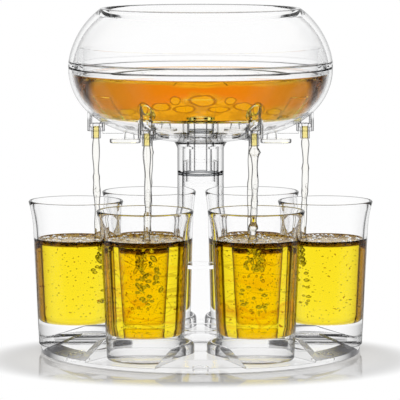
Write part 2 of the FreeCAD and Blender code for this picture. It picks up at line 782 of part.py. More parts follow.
def make_nozzle(place):
    """A tube that leads from the inner bowl through the air gap to its spout."""
    body = new_body("nozzle_" + str(place + 1))
    spout_radius = s.nozzle_bore + s.nozzle_wall
    plug_radius = s.socket_radius - s.socket_wall - s.snug
    nozzle_tip = bowl_seat - s.tip_drop
    plug_bottom = bowl_seat - s.plug_drop
    plug_top = plug_bottom + s.bowl_wall
    inlet_top = bowl_seat + s.inlet_rise
    raise_pad(body, "spout", nozzle_tip, plug_bottom,
              lambda sketch: draw_circle(sketch, nozzle_ring, spout_radius))
    raise_pad(body, "plug", plug_bottom, plug_top,
              lambda sketch: draw_circle(sketch, nozzle_ring, plug_radius))
    raise_pad(body, "inlet", plug_top, inlet_top,
              lambda sketch: draw_circle(sketch, nozzle_ring, s.inlet_radius))
    turn(body, "bowl_trim", inner_bowl_cavity(top_height), cut=True)
    sink_pocket(body, "funnel", inlet_top, plug_top,
                lambda sketch: draw_circle(sketch, nozzle_ring,
                                           s.inlet_radius - s.inlet_wall))
    sink_pocket(body, "bore", inlet_top, nozzle_tip,
                lambda sketch: draw_circle(sketch, nozzle_ring, s.nozzle_bore))
    place_on_ring(body, 0.0, place)
    return body


# ---------------------------------------------------------------------------------------
# Valve
# ---------------------------------------------------------------------------------------

def make_valve_rotor():
    """Hub, arms and shutters. Each shutter follows the slope of the bowl's side."""
    body = new_body("valve_rotor")
    arm_end = inner_floor_radius - s.shutter_thickness
    shutter_top = inner_floor + s.shutter_height
    shutter_top_radius = nozzle_ring + s.inlet_radius - s.slip
    turn(body, "hub", [
        (0, hub_bottom),
        (s.hub_radius, hub_bottom),
        (s.hub_radius, hub_bottom + s.hub_edge, s.hub_rounding),
        (s.knob_seat, hub_top),
        (0, hub_top),
    ])
    arm = raise_pad(body, "arm", hub_bottom, hub_bottom + s.arm_thickness,
                    lambda sketch: draw_outline(sketch, [
                        (s.knob_seat, -s.arm_width / 2),
                        (arm_end, -s.arm_width / 2),
                        (arm_end, s.arm_width / 2),
                        (s.knob_seat, s.arm_width / 2),
                    ]))
    shutter = turn(body, "shutter", [
        (inner_floor_radius - s.slip - s.shutter_foot, hub_bottom),
        (inner_floor_radius - s.slip, hub_bottom, s.inner_rounding),
        (shutter_top_radius, shutter_top),
        (shutter_top_radius - s.shutter_thickness, shutter_top, -s.inner_rounding),
    ], angle=s.shutter_angle)
    ring_of(body, "arms_and_shutters", [arm, shutter])
    turn(body, "stud_hole", [
        (0, hub_bottom - s.slip),
        (s.stud_radius + s.snug, hub_bottom - s.slip),
        (s.stud_radius + s.snug, hub_top + s.slip),
        (0, hub_top + s.slip),
    ], cut=True)
    place_on_ring(body, 0.0, 0.5)
    return body


def make_valve_knob():
    """The knob that is pushed onto the spindle's stud, over the hub."""
    body = new_body("valve_knob")
    knob_top = hub_top + s.knob_height
    turn(body, "knob_form", [
        (0, hub_top),
        (s.knob_seat, hub_top),
        (s.knob_seat, hub_top + s.knob_foot, -s.knob_waist),
        (s.knob_radius, knob_top),
        (0, knob_top),
    ])
    round_edges(body, "knob_rounding", s.knob_rounding, level_at(knob_top))
    turn(body, "stud_hole", [
        (0, hub_top - s.slip),
        (s.stud_radius + s.snug, hub_top - s.slip),
        (s.stud_radius + s.snug, stud_top + s.slip),
        (0, stud_top + s.slip),
    ], cut=True)
    return body


def make_valve_spindle():
    """The hollow spindle in the stem, with grooves for its seal and its clip."""
    body = new_body("valve_spindle")
    spindle_bottom = shoulder_bottom + s.spindle_step
    tail_bottom = clip_groove_bottom - s.tail_reach
    cap_bottom = hub_bottom - s.spindle_cap
    turn(body, "spindle_form", [
        (s.spindle_hollow, tail_bottom),
        (s.tail_radius, tail_bottom),
        (s.tail_radius, clip_groove_bottom),
        (s.tail_radius - s.clip_depth, clip_groove_bottom),
        (s.tail_radius - s.clip_depth, clip_groove_top),
        (s.tail_radius, clip_groove_top),
        (s.tail_radius, spindle_bottom),
        (spindle_radius, spindle_bottom),
        (spindle_radius, groove_bottom),
        (spindle_radius - s.groove_depth, groove_bottom),
        (spindle_radius - s.groove_depth, groove_top),
        (spindle_radius, groove_top),
        (spindle_radius, hub_bottom),
        (s.stud_radius, hub_bottom),
        (s.stud_radius, stud_top),
        (0, stud_top),
        (0, cap_bottom),
        (s.spindle_hollow, cap_bottom),
    ])
    return body


def make_spindle_seal():
    """The ring in the spindle's groove that keeps the drink out of the stem."""
    body = new_body("spindle_seal")
    inner = spindle_radius - s.groove_depth + s.snug
    outer = s.spindle_bore - s.seal_gap
    turn(body, "seal_form", [
        (inner, groove_bottom + s.snug),
        (outer, groove_bottom + s.snug),
        (outer, groove_top - s.snug),
        (inner, groove_top - s.snug),
    ])
    round_edges(body, "seal_rounding", s.seal_rounding,
                lambda edge: edge.BoundBox.XMax > plain(inner + s.seal_rounding))
    return body


def make_spindle_clip():
    """The C-shaped clip that keeps the spindle from being pulled up."""
    body = new_body("spindle_clip")
    top = clip_groove_top - s.clip_gap
    bottom = top - s.clip_thickness
    inner = s.tail_radius - s.clip_depth + s.snug
    turn(body, "clip_form", [
        (inner, bottom),
        (s.clip_radius, bottom),
        (s.clip_radius, top),
        (inner, top),
    ])
    sink_pocket(body, "clip_mouth", top, bottom - s.snug,
                lambda sketch: draw_outline(sketch, [
                    (0, -s.clip_mouth),
                    (s.clip_radius + s.slip, -s.clip_mouth),
                    (s.clip_radius + s.slip, s.clip_mouth),
                    (0, s.clip_mouth),
                ]))
    return body


# ---------------------------------------------------------------------------------------
# Stoppers and glasses
# ---------------------------------------------------------------------------------------

def make_stopper(name, place):
    """A tapered peg on a finger tab. The tab points outwards from the stem."""
    body = new_body(name)
    half = s.tab_inner
    tab_end = s.tab_outer - half

    def tab_outline(sketch):
        draw_outline(sketch, [
            (0, -half),
            (tab_end, -half, half),
            (s.tab_outer, 0, half),
            (tab_end, half),
            (0, half, half),
            (-half, 0, half),
        ])

    raise_pad(body, "tab", tab_bottom, tab_top, tab_outline)
    round_edges(body, "tab_rounding", s.tab_rounding, lambda edge: (
        level_at(tab_bottom)(edge) or level_at(tab_top)(edge)))
    peg_base = tab_bottom + s.tab_thickness / 2
    peg_top = tab_top + s.peg_height
    turn(body, "peg", [
        (0, peg_base),
        (s.peg_radius, peg_base),
        (s.peg_radius, tab_top),
        (s.peg_tip_radius, peg_top),
        (0, peg_top),
    ])
    round_edges(body, "peg_rounding", s.peg_rounding, level_at(peg_top))
    place_on_ring(body, stopper_ring, place)
    return body


def make_glass(place):
    """A shot glass with a heavy base and a flared lip."""
    body = new_body("glass_" + str(place + 1))
    band_bottom = s.glass_height - s.lip_band
    band_radius = s.lip_radius - s.lip_taper
    inner_neck = s.neck_radius - s.glass_wall
    inner_foot = s.foot_radius - s.glass_wall
    turn(body, "glass_form", [
        (0, 0),
        (s.foot_radius - s.foot_inset, 0),
        (s.foot_radius, s.foot_bevel),
        (s.neck_radius, s.neck_height, -s.lip_flare),
        (band_radius, band_bottom),
        (s.lip_radius, s.glass_height),
        (s.lip_radius - s.lip_wall, s.glass_height),
        (band_radius - s.lip_wall, band_bottom, s.lip_flare + s.lip_wall),
        (inner_neck, s.neck_height),
        (inner_foot, s.glass_base),
        (0, s.glass_base),
    ])
    round_edges(body, "base_rounding", s.base_rounding, level_at(s.glass_base))
    at_side = place % (PLACES // 2) == 0
    seat = s.seat_ring + s.side_glass_shift if at_side else s.seat_ring
    place_on_ring(body, seat, place, s.tray_floor)
    return body


# ---------------------------------------------------------------------------------------
# Build, check and write
# ---------------------------------------------------------------------------------------

STOPPER_PLACES = (0, 1, 2, 3)


def make_all():
    nodes = [
        make_tray(), make_foot_pads(), make_column(), make_swivel_ring(),
        make_stem(), make_spigot(), make_outer_shell(), make_inner_bowl(),
        make_joint_ring(),
        make_joint_seal("joint_seal_lower", lower_seal_radius, seam_height,
                        seam_height + seal_half - s.snug),
        make_joint_seal("joint_seal_upper", upper_seal_radius,
                        joint_top - seal_half + s.snug, joint_top),
        make_upper_dome(),
        make_valve_rotor(), make_valve_knob(), make_valve_spindle(), make_spindle_seal(),
        make_spindle_clip(),
    ]
    nodes += [make_nozzle(place) for place in range(PLACES)]
    nodes += [make_stopper("stopper_" + str(number), place)
              for number, place in enumerate(STOPPER_PLACES, start=1)]
    nodes += [make_glass(place) for place in range(PLACES)]
    return nodes


def check_and_write(nodes):
    doc.recompute()
    for item in doc.Objects:
        if "Invalid" in item.State or "Error" in item.State:
            raise RuntimeError("failed: " + item.Label + " " + str(item.State))
    for node in nodes:
        if node.Shape.isNull() or not node.Shape.isValid():
            raise RuntimeError("bad shape: " + node.Label)
    os.makedirs("parts", exist_ok=True)
    for node in nodes:
        node.Shape.exportStep("parts/" + node.Label + ".step")
        box = node.Shape.BoundBox
        print(node.Label, len(node.Shape.Solids), "solid(s)", round(node.Shape.Volume), "mm3",
              "z", round(box.ZMin, 2), "to", round(box.ZMax, 2))


check_and_write(make_all())
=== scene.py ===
# %% [markdown]
# # A party shot dispenser, dressed in Blender
# Six shot glasses stand in the bays of a round tray. A column in the middle carries a bowl of drink,
# and six nozzles under the bowl fill all six glasses at once. The construction comes in finished from
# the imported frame, so this file makes only what a camera sees: clear plastics and glass, the drink, and
# the light around them.

# %% Load the frame
import math
import random

import bpy
from mathutils import Matrix, Vector


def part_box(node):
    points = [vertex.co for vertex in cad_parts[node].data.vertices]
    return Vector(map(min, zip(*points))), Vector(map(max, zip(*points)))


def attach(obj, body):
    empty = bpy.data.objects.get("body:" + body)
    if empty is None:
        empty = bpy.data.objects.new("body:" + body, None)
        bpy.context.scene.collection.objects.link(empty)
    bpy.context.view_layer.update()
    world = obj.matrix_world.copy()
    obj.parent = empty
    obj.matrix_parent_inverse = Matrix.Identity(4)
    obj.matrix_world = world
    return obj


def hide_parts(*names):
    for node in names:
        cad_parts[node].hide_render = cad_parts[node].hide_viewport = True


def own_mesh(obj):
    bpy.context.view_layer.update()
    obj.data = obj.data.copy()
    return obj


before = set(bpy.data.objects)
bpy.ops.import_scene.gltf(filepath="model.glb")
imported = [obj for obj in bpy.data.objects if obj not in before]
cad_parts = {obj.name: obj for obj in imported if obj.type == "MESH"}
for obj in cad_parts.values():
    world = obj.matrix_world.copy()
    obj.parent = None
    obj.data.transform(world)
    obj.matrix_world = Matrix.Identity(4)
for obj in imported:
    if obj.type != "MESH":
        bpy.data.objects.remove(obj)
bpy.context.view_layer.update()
MM = 0.001
print("nodes in the frame:", len(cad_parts))

# %% [markdown]
# ## The camera
# A long lens from a little above keeps the upright lines parallel. The camera stands in front of the
# object and tips down until the bowl's stem is near the middle of the frame.

# %% Camera
CAMERA_DISTANCE = 1.645
CAMERA_HEIGHT = 0.2522
CAMERA_TILT = math.radians(5.985)
CAMERA_ASIDE = -0.3 * MM
LENS = 282.0

bpy.ops.object.select_all(action="DESELECT")
bpy.ops.object.camera_add(
    location=(CAMERA_ASIDE, -CAMERA_DISTANCE, CAMERA_HEIGHT),
    rotation=(math.pi / 2 - CAMERA_TILT, 0, 0),
)
camera = bpy.context.object
camera.data.lens = LENS
camera.data.clip_end = 20
scene = bpy.context.scene
scene.camera = camera
scene.view_settings.view_transform = "Standard"
print("camera at", tuple(round(v, 3) for v in camera.location))

# %% [markdown]
# ## Many thin walls in a row
# A ray that looks through a full glass crosses eight surfaces, and another glass may stand behind it.
# The renderer is told to follow such a ray to the end, because a ray that is cut off turns black.

# %% Depth of the glass
WALLS_IN_A_ROW = 40
MIRRORS_IN_A_ROW = 16
scene.cycles.max_bounces = WALLS_IN_A_ROW
scene.cycles.transmission_bounces = WALLS_IN_A_ROW
scene.cycles.transparent_max_bounces = WALLS_IN_A_ROW
scene.cycles.glossy_bounces = MIRRORS_IN_A_ROW
scene.cycles.caustics_reflective = False
scene.cycles.caustics_refractive = False


# %% [markdown]
# ## Helpers for shader nodes
# Every material below is a small net of nodes. The first helper adds one node, sets its properties, and
# either sets or links its inputs, so that each material reads like a list of its nodes. The others are
# the few sums that nearly every material needs.

# %% Node helpers
def put(tree, kind, inputs=None, **settings):
    """Adds one shader node. An input given as a socket is linked, any other value is set."""
    node = tree.nodes.new("ShaderNode" + kind)
    for name, value in settings.items():
        setattr(node, name, value)
    for name, value in (inputs or {}).items():
        if isinstance(value, bpy.types.NodeSocket):
            tree.links.new(value, node.inputs[name])
        else:
            node.inputs[name].default_value = value
    return node


def begin_look(name):
    """A new material with an empty net of nodes."""
    look = bpy.data.materials.new(name)
    look.use_nodes = True
    look.node_tree.nodes.clear()
    return look, look.node_tree


def rise(tree, value, low, high, top=1.0):
    """Zero below low, top above high, and a soft step between them."""
    step = put(
        tree,
        "MapRange",
        {"Value": value, "From Min": low, "From Max": high, "To Max": top},
        interpolation_type="SMOOTHSTEP",
    )
    return step.outputs[0]


def maths(tree, operation, first, second):
    """One sum on two values, kept between zero and one."""
    return put(tree, "Math", {0: first, 1: second}, operation=operation, use_clamp=True).outputs[0]


def times(tree, first, second):
    """The product of two shares."""
    return maths(tree, "MULTIPLY", first, second)


def below(tree, value, low, high):
    """The opposite of rise: one below low and zero above high."""
    return maths(tree, "SUBTRACT", 1.0, rise(tree, value, low, high))


def free_maths(tree, operation, first, second=0.0):
    """One sum on one or two values, whose result may be of any size."""
    return put(tree, "Math", {0: first, 1: second}, operation=operation).outputs[0]


def linear(tree, value, factor, offset):
    """A value times a factor, plus an offset."""
    return put(tree, "Math", {0: value, 1: factor, 2: offset}, operation="MULTIPLY_ADD").outputs[0]


def blend(tree, share, first, second):
    """Two colours mixed."""
    return put(tree, "Mix", {0: share, 6: first, 7: second}, data_type="RGBA").outputs[2]


def paint(tree, share, mask, under, over):
    """Puts the colour over on the colour under, by a share and where the mask lets it."""
    return blend(tree, times(tree, share, mask), under, over)


def scaled_place(tree, place, factors):
    """The place on a piece, stretched along its axes. A factor of zero flattens it."""
    inputs = {0: place.outputs["Object"], 1: factors}
    return put(tree, "VectorMath", inputs, operation="MULTIPLY").outputs[0]


def facing_out(tree, place, shape):
    """How far a surface faces away from its piece's upright axis. Its direction is given in the world's
    axes and is turned into the piece's own, or the two would disagree once the head has swivelled."""
    radial = put(tree, "VectorMath", {0: scaled_place(tree, place, (1, 1, 0))}, operation="NORMALIZE")
    own_normal = put(
        tree,
        "VectorTransform",
        {0: shape.outputs["Normal"]},
        vector_type="NORMAL",
        convert_from="WORLD",
        convert_to="OBJECT",
    )
    both = {0: radial.outputs[0], 1: own_normal.outputs[0]}
    return put(tree, "VectorMath", both, operation="DOT_PRODUCT").outputs["Value"]


FACE_ON_SHEEN = (0.4, 0.4, 0.4, 1)


def clear_body(tree, colour, roughness, ior, bump):
    """A clear skin that bends light and takes little of it where it is seen face on."""
    inputs = {
        "Base Color": colour,
        "Roughness": roughness,
        "IOR": ior,
        "Transmission Weight": 1.0,
        "Specular Tint": FACE_ON_SHEEN,
        "Normal": bump.outputs[0],
    }
    return put(tree, "BsdfPrincipled", inputs).outputs[0]


def pass_light(tree, skin, tint):
    """Lets light through to what is behind: for a shadow ray the skin is a plain tinted pane."""
    ray = put(tree, "LightPath")
    pane = put(tree, "BsdfTransparent", {"Color": tint})
    both = {0: ray.outputs["Is Shadow Ray"], 1: skin, 2: pane.outputs[0]}
    return put(tree, "MixShader", both).outputs[0]


# %% [markdown]
# ## The studio
# Glass is shown against a bright field: a white backdrop behind it, and darkness beside it. A ray that
# passes straight through a wall ends on the backdrop, so the middle of each wall stays white. Near an
# outline the wall bends the ray sideways into the dark, and the outline draws itself. Window lights at
# the sides put a sheen on the curved walls. The camera itself and the soft light on the floor see plain
# white.

# %% Bright field
WHITE = (1, 1, 1, 1)

# brightness from straight behind the camera, 0, round to straight behind the object, 1
FIELD_LEVELS = [
    (0.00, 0.10), (0.18, 0.10), (0.22, 0.85), (0.40, 0.85), (0.46, 0.12),
    (0.62, 0.12), (0.66, 0.80), (0.76, 0.80), (0.81, 0.06), (0.85, 0.06), (0.90, 1.0),
]


def make_bright_field():
    """How bright the studio is towards a direction, from its turn away from the backdrop at +Y."""
    group = bpy.data.node_groups.new("bright_field", "ShaderNodeTree")
    group.interface.new_socket("Direction", in_out="INPUT", socket_type="NodeSocketVector")
    group.interface.new_socket("Brightness", in_out="OUTPUT", socket_type="NodeSocketFloat")
    start = group.nodes.new("NodeGroupInput")
    flat = put(group, "VectorMath", {0: start.outputs["Direction"], 1: (1, 1, 0)}, operation="MULTIPLY")
    unit = put(group, "VectorMath", {0: flat.outputs[0]}, operation="NORMALIZE")
    split = put(group, "SeparateXYZ", {0: unit.outputs[0]})
    share = put(group, "MapRange", {"Value": split.outputs["Y"], "From Min": -1.0, "From Max": 1.0})
    ramp = put(group, "ValToRGB", {0: share.outputs[0]})
    stops = ramp.color_ramp.elements
    stops[0].position = FIELD_LEVELS[0][0]
    stops[0].color = (FIELD_LEVELS[0][1],) * 3 + (1,)
    stops[1].position = FIELD_LEVELS[-1][0]
    stops[1].color = (FIELD_LEVELS[-1][1],) * 3 + (1,)
    for position, value in FIELD_LEVELS[1:-1]:
        stop = stops.new(position)
        stop.color = (value, value, value, 1)
    end = group.nodes.new("NodeGroupOutput")
    group.links.new(ramp.outputs[0], end.inputs["Brightness"])
    return group


BRIGHT_FIELD = make_bright_field()

# %% World
AMBIENT = 0.8
CEILING_STARTS = 0.45
CEILING_ENDS = 0.6

world = bpy.data.worlds.new("studio")
scene.world = world
world.use_nodes = True
sky = world.node_tree
sky.nodes.clear()
ray = put(sky, "LightPath")
direction = put(sky, "TexCoord")
field = sky.nodes.new("ShaderNodeGroup")
field.node_tree = BRIGHT_FIELD
sky.links.new(direction.outputs["Generated"], field.inputs["Direction"])
split = put(sky, "SeparateXYZ", {0: direction.outputs["Generated"]})
ceiling = put(
    sky,
    "MapRange",
    {"Value": split.outputs["Z"], "From Min": CEILING_STARTS, "From Max": CEILING_ENDS},
    interpolation_type="SMOOTHSTEP",
)
room = free_maths(sky, "MAXIMUM", field.outputs[0], ceiling.outputs[0])
plain = free_maths(sky, "MAXIMUM", ray.outputs["Is Camera Ray"], ray.outputs["Is Diffuse Ray"])
seen = free_maths(sky, "MAXIMUM", room, plain)
soft = free_maths(sky, "MULTIPLY", ray.outputs["Is Diffuse Ray"], 1 - AMBIENT)
level = free_maths(sky, "SUBTRACT", 1.0, soft)
light = put(sky, "Background", {"Color": seen, "Strength": level})
put(sky, "OutputWorld", {"Surface": light.outputs[0]})
print("world nodes:", len(sky.nodes))


# %% Lamps
def add_softbox(name, place, target, size, watts):
    """A large square area lamp that faces the target."""
    bpy.ops.object.select_all(action="DESELECT")
    bpy.ops.object.light_add(type="AREA", location=place)
    lamp = bpy.context.object
    lamp.name = name
    lamp.data.size = size
    lamp.data.energy = watts
    aim = Vector(target) - Vector(place)
    lamp.rotation_euler = aim.to_track_quat("-Z", "Y").to_euler()
    return lamp


MIDDLE = (0, 0, 0.09)
add_softbox("left_softbox", (-1.1, -0.7, 1.6), MIDDLE, 1.6, 9)
add_softbox("right_softbox", (1.1, 0.5, 1.7), MIDDLE, 1.6, 7)

# %% [markdown]
# ## The floor
# The floor is a polished white sheet, so the glasses stand on their own reflections. A part of its
# white is its own colour as the camera sees it, a part is lit and keeps the shadows, and the rest is
# mirror. Near the object that own colour turns grey as the camera sees it, a painted shade round the
# object. Away from the object only the white is left, so that no horizon shows. A ray that comes
# through glass sees plain white near the object, and further off the bright field: white behind the
# object and dark beside it.

# %% Floor
FLOOR_RADIUS = 3.0
FADE_START = 0.07
FADE_END = 0.097
FADE_FORWARD = 0.03
SIDE_SQUEEZE = 0.8
LIT_SHARE = 0.62
MIRROR_SHARE = 0.35
NEAR_WHITE = 0.97
THROUGH_LIT = 0.1
FLOOR_SHADE_GREY = 0.32
LIT_WHITE = (0.9, 0.9, 0.9, 1)
FLOOR_DROP = 0.1 * MM

floor_look, tree = begin_look("polished_floor")
ray = put(tree, "LightPath")
place = put(tree, "TexCoord")
shifted = put(tree, "VectorMath", {0: place.outputs["Object"], 1: (0, FADE_FORWARD, 0)}, operation="ADD")
squeezed = put(tree, "VectorMath", {0: shifted.outputs[0], 1: (SIDE_SQUEEZE, 1, 1)}, operation="MULTIPLY")
distance = put(tree, "VectorMath", {0: squeezed.outputs[0]}, operation="LENGTH")
fade = rise(tree, distance.outputs["Value"], FADE_START, FADE_END)
field = tree.nodes.new("ShaderNodeGroup")
field.node_tree = BRIGHT_FIELD
tree.links.new(place.outputs["Object"], field.inputs["Direction"])
around = put(tree, "Mix", {0: fade, 2: NEAR_WHITE, 3: field.outputs[0]})
# painted shade: near the object the camera sees the floor's own white turn grey
before = put(tree, "Mix", {0: fade, 2: FLOOR_SHADE_GREY, 3: 1.0})
seen = put(tree, "Mix", {0: ray.outputs["Is Camera Ray"], 2: around.outputs[0], 3: before.outputs[0]})
not_diffuse = maths(tree, "SUBTRACT", 1.0, ray.outputs["Is Diffuse Ray"])
glow_colour = times(tree, seen.outputs[0], not_diffuse)
glow = put(tree, "Emission", {"Color": glow_colour, "Strength": 1.0})
lit = put(tree, "BsdfDiffuse", {"Color": LIT_WHITE})
mirror = put(tree, "BsdfGlossy", {"Color": WHITE, "Roughness": 0.02})
lit_share = put(tree, "Mix", {0: ray.outputs["Is Camera Ray"], 2: THROUGH_LIT, 3: LIT_SHARE})
mirror_share = times(tree, MIRROR_SHARE, ray.outputs["Is Camera Ray"])
white = put(tree, "MixShader", {0: lit_share.outputs[0], 1: glow.outputs[0], 2: lit.outputs[0]})
near = put(tree, "MixShader", {0: mirror_share, 1: white.outputs[0], 2: mirror.outputs[0]})
mixed = put(tree, "MixShader", {0: fade, 1: near.outputs[0], 2: glow.outputs[0]})
put(tree, "OutputMaterial", {"Surface": mixed.outputs[0]})

bpy.ops.object.select_all(action="DESELECT")
bpy.ops.mesh.primitive_circle_add(
    vertices=96, radius=FLOOR_RADIUS, fill_type="NGON", location=(0, 0, -FLOOR_DROP)
)
floor = bpy.context.object
floor.name = "floor"
floor.data.materials.append(floor_look)


# %% [markdown]
# ## Marks on plastic
# Moulded plastic is never perfectly smooth: it carries faint smears from hands and fine scuffs from
# washing. One node group makes both, and each clear material takes its own amount.

# %% Handling marks
def make_marks_group():
    """A group that puts out roughness and height for smears and fine scuffs."""
    group = bpy.data.node_groups.new("handling_marks", "ShaderNodeTree")
    for name, value in (("Smear Size", 40.0), ("Base Roughness", 0.02), ("Smear Roughness", 0.05)):
        socket = group.interface.new_socket(name, in_out="INPUT", socket_type="NodeSocketFloat")
        socket.default_value = value
    for name in ("Roughness", "Height"):
        group.interface.new_socket(name, in_out="OUTPUT", socket_type="NodeSocketFloat")
    given = group.nodes.new("NodeGroupInput")
    place = put(group, "TexCoord")
    smear = put(
        group,
        "TexNoise",
        {"Vector": place.outputs["Object"], "Scale": given.outputs[0], "Detail": 3.0},
    )
    smear_mask = put(
        group, "MapRange", {"Value": smear.outputs["Fac"], "From Min": 0.45, "From Max": 0.75}
    )
    extra = put(
        group, "Math", {0: smear_mask.outputs[0], 1: given.outputs[2]}, operation="MULTIPLY"
    )
    total = put(group, "Math", {0: extra.outputs[0], 1: given.outputs[1]}, operation="ADD")
    ripple = put(group, "TexNoise", {"Vector": place.outputs["Object"], "Scale": 90.0, "Detail": 1.0})
    result = group.nodes.new("NodeGroupOutput")
    group.links.new(total.outputs[0], result.inputs["Roughness"])
    group.links.new(ripple.outputs["Fac"], result.inputs["Height"])
    return group


MARKS = make_marks_group()


# %% [markdown]
# ## How clear plastic shows itself
# A clear wall is nearly white where it is seen face on. The shade that shows its shape is painted into
# its colour, in four kinds of line: a soft grey where an upright wall turns away, a crisp dark outline
# where it is seen edge on, a line along each polished corner, and a dark ring on the rounded edge of a
# mouth or lip. A slender tube turns away sooner than a wide bowl does, so each material says between
# which slants its outline begins.
#
# A level underside is the hard case. Seen from just above the table it is a perfect mirror from inside,
# and would fill the tray with images of the drinks. So the undersides of tray and glasses let the ray
# straight out to the white floor they stand on.

# %% Clear materials
CORNER_WIDTH = 0.35 * MM
# greys and darks that clear parts take as painted shade
DEEP_SHADE = (0.025, 0.025, 0.027, 1)
OUTLINE_SHADE = (0.09, 0.09, 0.095, 1)
CLEAR = (0.998, 0.998, 0.999, 1)
EDGE_SHADE = (0.6, 0.605, 0.61, 1)
SOFT_EDGE_SHADE = (0.8, 0.805, 0.81, 1)
THICK_EDGE_SHADE = (0.3, 0.305, 0.31, 1)
SILICONE = (0.3, 0.31, 0.32, 1)
BASE_SHADE = (0.1, 0.1, 0.105, 1)
SHADOW_TINT = (0.93, 0.93, 0.93, 1)
SOLE_CLEAR = (0.98, 0.98, 0.98, 1)
SOLE_SHARE = 0.8
GLASS = 1.16
EVERYWHERE = 9.0


def corner_share(tree, place, shape, height, crease, line_over, line_reach):
    """Where the corners are. A bevel rounds the surface's direction near a corner, so a corner is where
    the rounded direction and the true one differ."""
    rounded = put(tree, "Bevel", {"Radius": CORNER_WIDTH}, samples=4)
    both = {0: rounded.outputs[0], 1: shape.outputs["Normal"]}
    same = put(tree, "VectorMath", both, operation="DOT_PRODUCT")
    corner = below(tree, same.outputs["Value"], *crease)
    if line_over:
        across = scaled_place(tree, place, (1, 1, 0))
        reach = put(tree, "VectorMath", {0: across}, operation="LENGTH").outputs["Value"]
        higher = rise(tree, height, line_over - 0.2 * MM, line_over + 0.2 * MM)
        further = rise(tree, reach, line_reach - 0.5 * MM, line_reach + 0.5 * MM)
        corner = times(tree, corner, maths(tree, "MAXIMUM", higher, further))
    return corner


def clear_look(name, ior, outline, ink=OUTLINE_SHADE, edge=EDGE_SHADE, face=CLEAR, line=0.0, crease=(0.9, 0.99),
               line_over=None, line_under=EVERYWHERE, line_reach=EVERYWHERE, lower_outline=None,
               rim=None, seams=(), foot=None, base=None, sole=None, smear=0.03, ripple=0.00002):
    """A clear moulding. Heights and radii are in metres.

    outline is the pair of slants between which its edge turns to the painted shade ink, and
    edge is the softer painted grey before that. line is how dark the painted shade along its corners is,
    and crease how blunt a corner may be. Corner lines lie over line_over, or anywhere outside the radius
    line_reach, and always under line_under, where small fittings take a painted outline by
    lower_outline. rim is the height of a lip, whose top takes a painted dark ring, seams are the heights
    of dark lines painted round the outside, foot is the height of the edge it stands on, with a painted
    dark band on its walls just above it, and under base a solid foot shades off to grey.
    Level faces under sole let the floor show."""
    look, tree = begin_look(name)
    marks = tree.nodes.new("ShaderNodeGroup")
    marks.node_tree = MARKS
    marks.inputs["Base Roughness"].default_value = 0.0
    marks.inputs["Smear Roughness"].default_value = smear
    slant = put(tree, "LayerWeight", {"Blend": 0.5}).outputs["Facing"]
    shape = put(tree, "NewGeometry")
    place = put(tree, "TexCoord")
    height = put(tree, "SeparateXYZ", {0: place.outputs["Object"]}).outputs["Z"]
    upright = put(tree, "SeparateXYZ", {0: shape.outputs["Normal"]}).outputs["Z"]
    tilt = free_maths(tree, "ABSOLUTE", upright)
    wall = maths(tree, "SUBTRACT", 1.0, times(tree, tilt, tilt))
    not_level = below(tree, tilt, 0.994, 0.999)
    # painted shade: a soft grey where an upright wall turns away, and a crisp dark outline where it is seen
    # edge on
    soft = times(tree, maths(tree, "POWER", slant, 3.0), wall)
    crisp = times(tree, rise(tree, slant, *outline), not_level)
    colour = blend(tree, soft, face, edge)
    colour = blend(tree, crisp, colour, ink)
    # painted shade along the corners, and a painted outline on small fittings
    if line:
        under = below(tree, height, line_under, line_under + 2 * MM)
        corner = corner_share(tree, place, shape, height, crease, line_over, line_reach)
        drawn = times(tree, times(tree, corner, line), under)
        colour = blend(tree, drawn, colour, DEEP_SHADE)
        if lower_outline:
            steep = times(tree, wall, wall)
            fitting = times(tree, rise(tree, slant, *lower_outline), steep)
            colour = paint(tree, fitting, under, colour, OUTLINE_SHADE)
    if base:
        in_base = below(tree, height, base - 1 * MM, base + 0.5 * MM)
        shade = times(tree, maths(tree, "POWER", slant, 1.3), wall)
        colour = paint(tree, shade, in_base, colour, BASE_SHADE)
    # painted shade: a dark ring at the top of the lip
    if rim:
        colour = blend(tree, rise(tree, height, rim - 0.5 * MM, rim - 0.3 * MM, 0.9), colour, OUTLINE_SHADE)
    # a dark line is painted round the outside at each seam
    if seams:
        outside = rise(tree, facing_out(tree, place, shape), 0.4, 0.8)
    for seam in seams:
        apart = free_maths(tree, "ABSOLUTE", free_maths(tree, "SUBTRACT", height, seam))
        close = below(tree, apart, 0.05 * MM, 0.2 * MM)
        colour = paint(tree, close, outside, colour, OUTLINE_SHADE)
    # painted shade: a dark band on the upright faces just above the foot
    if foot:
        at_foot = below(tree, height, foot + 0.6 * MM, foot + 1.1 * MM)
        colour = paint(tree, at_foot, wall, colour, DEEP_SHADE)
    bump = put(tree, "Bump", {"Strength": 1.0, "Distance": ripple, "Height": marks.outputs["Height"]})
    skin = clear_body(tree, colour, marks.outputs["Roughness"], ior, bump)
    if sole:
        above = rise(tree, height, sole, sole + 0.3 * MM, SOLE_SHARE)
        low = maths(tree, "SUBTRACT", SOLE_SHARE, above)
        on_sole = times(tree, low, rise(tree, tilt, 0.9, 0.99))
        open_sole = put(tree, "BsdfTransparent", {"Color": SOLE_CLEAR})
        skin = put(tree, "MixShader", {0: on_sole, 1: skin, 2: open_sole.outputs[0]}).outputs[0]
    put(tree, "OutputMaterial", {"Surface": pass_light(tree, skin, SHADOW_TINT)})
    return look


def top_of(node):
    """The height of a node's upper end, in metres."""
    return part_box(node)[1].z


# %% [markdown]
# ## Which piece takes which look
# The frame names a look for each node, and one material serves all nodes with that look. A few nodes
# then get a material of their own, because they need a line or a shade at a height that only they have.

# %% Looks of the pieces
WIDE = (0.84, 0.95)
SLENDER = (0.42, 0.7)
NARROW = (0.35, 0.62)
PEG = (0.3, 0.62)
ROUND = (0.74, 0.93)
BARELY = (0.93, 1.0)
BASE = 12.6
BAY_FLOOR = 2 * MM
TRAY_RIM = 83 * MM
TRAY_SOLE = 1.4 * MM
GLASS_SOLE = 1.2 * MM
SOCKET_LOW = 111.8 * MM
SOCKET_HIGH = 122 * MM

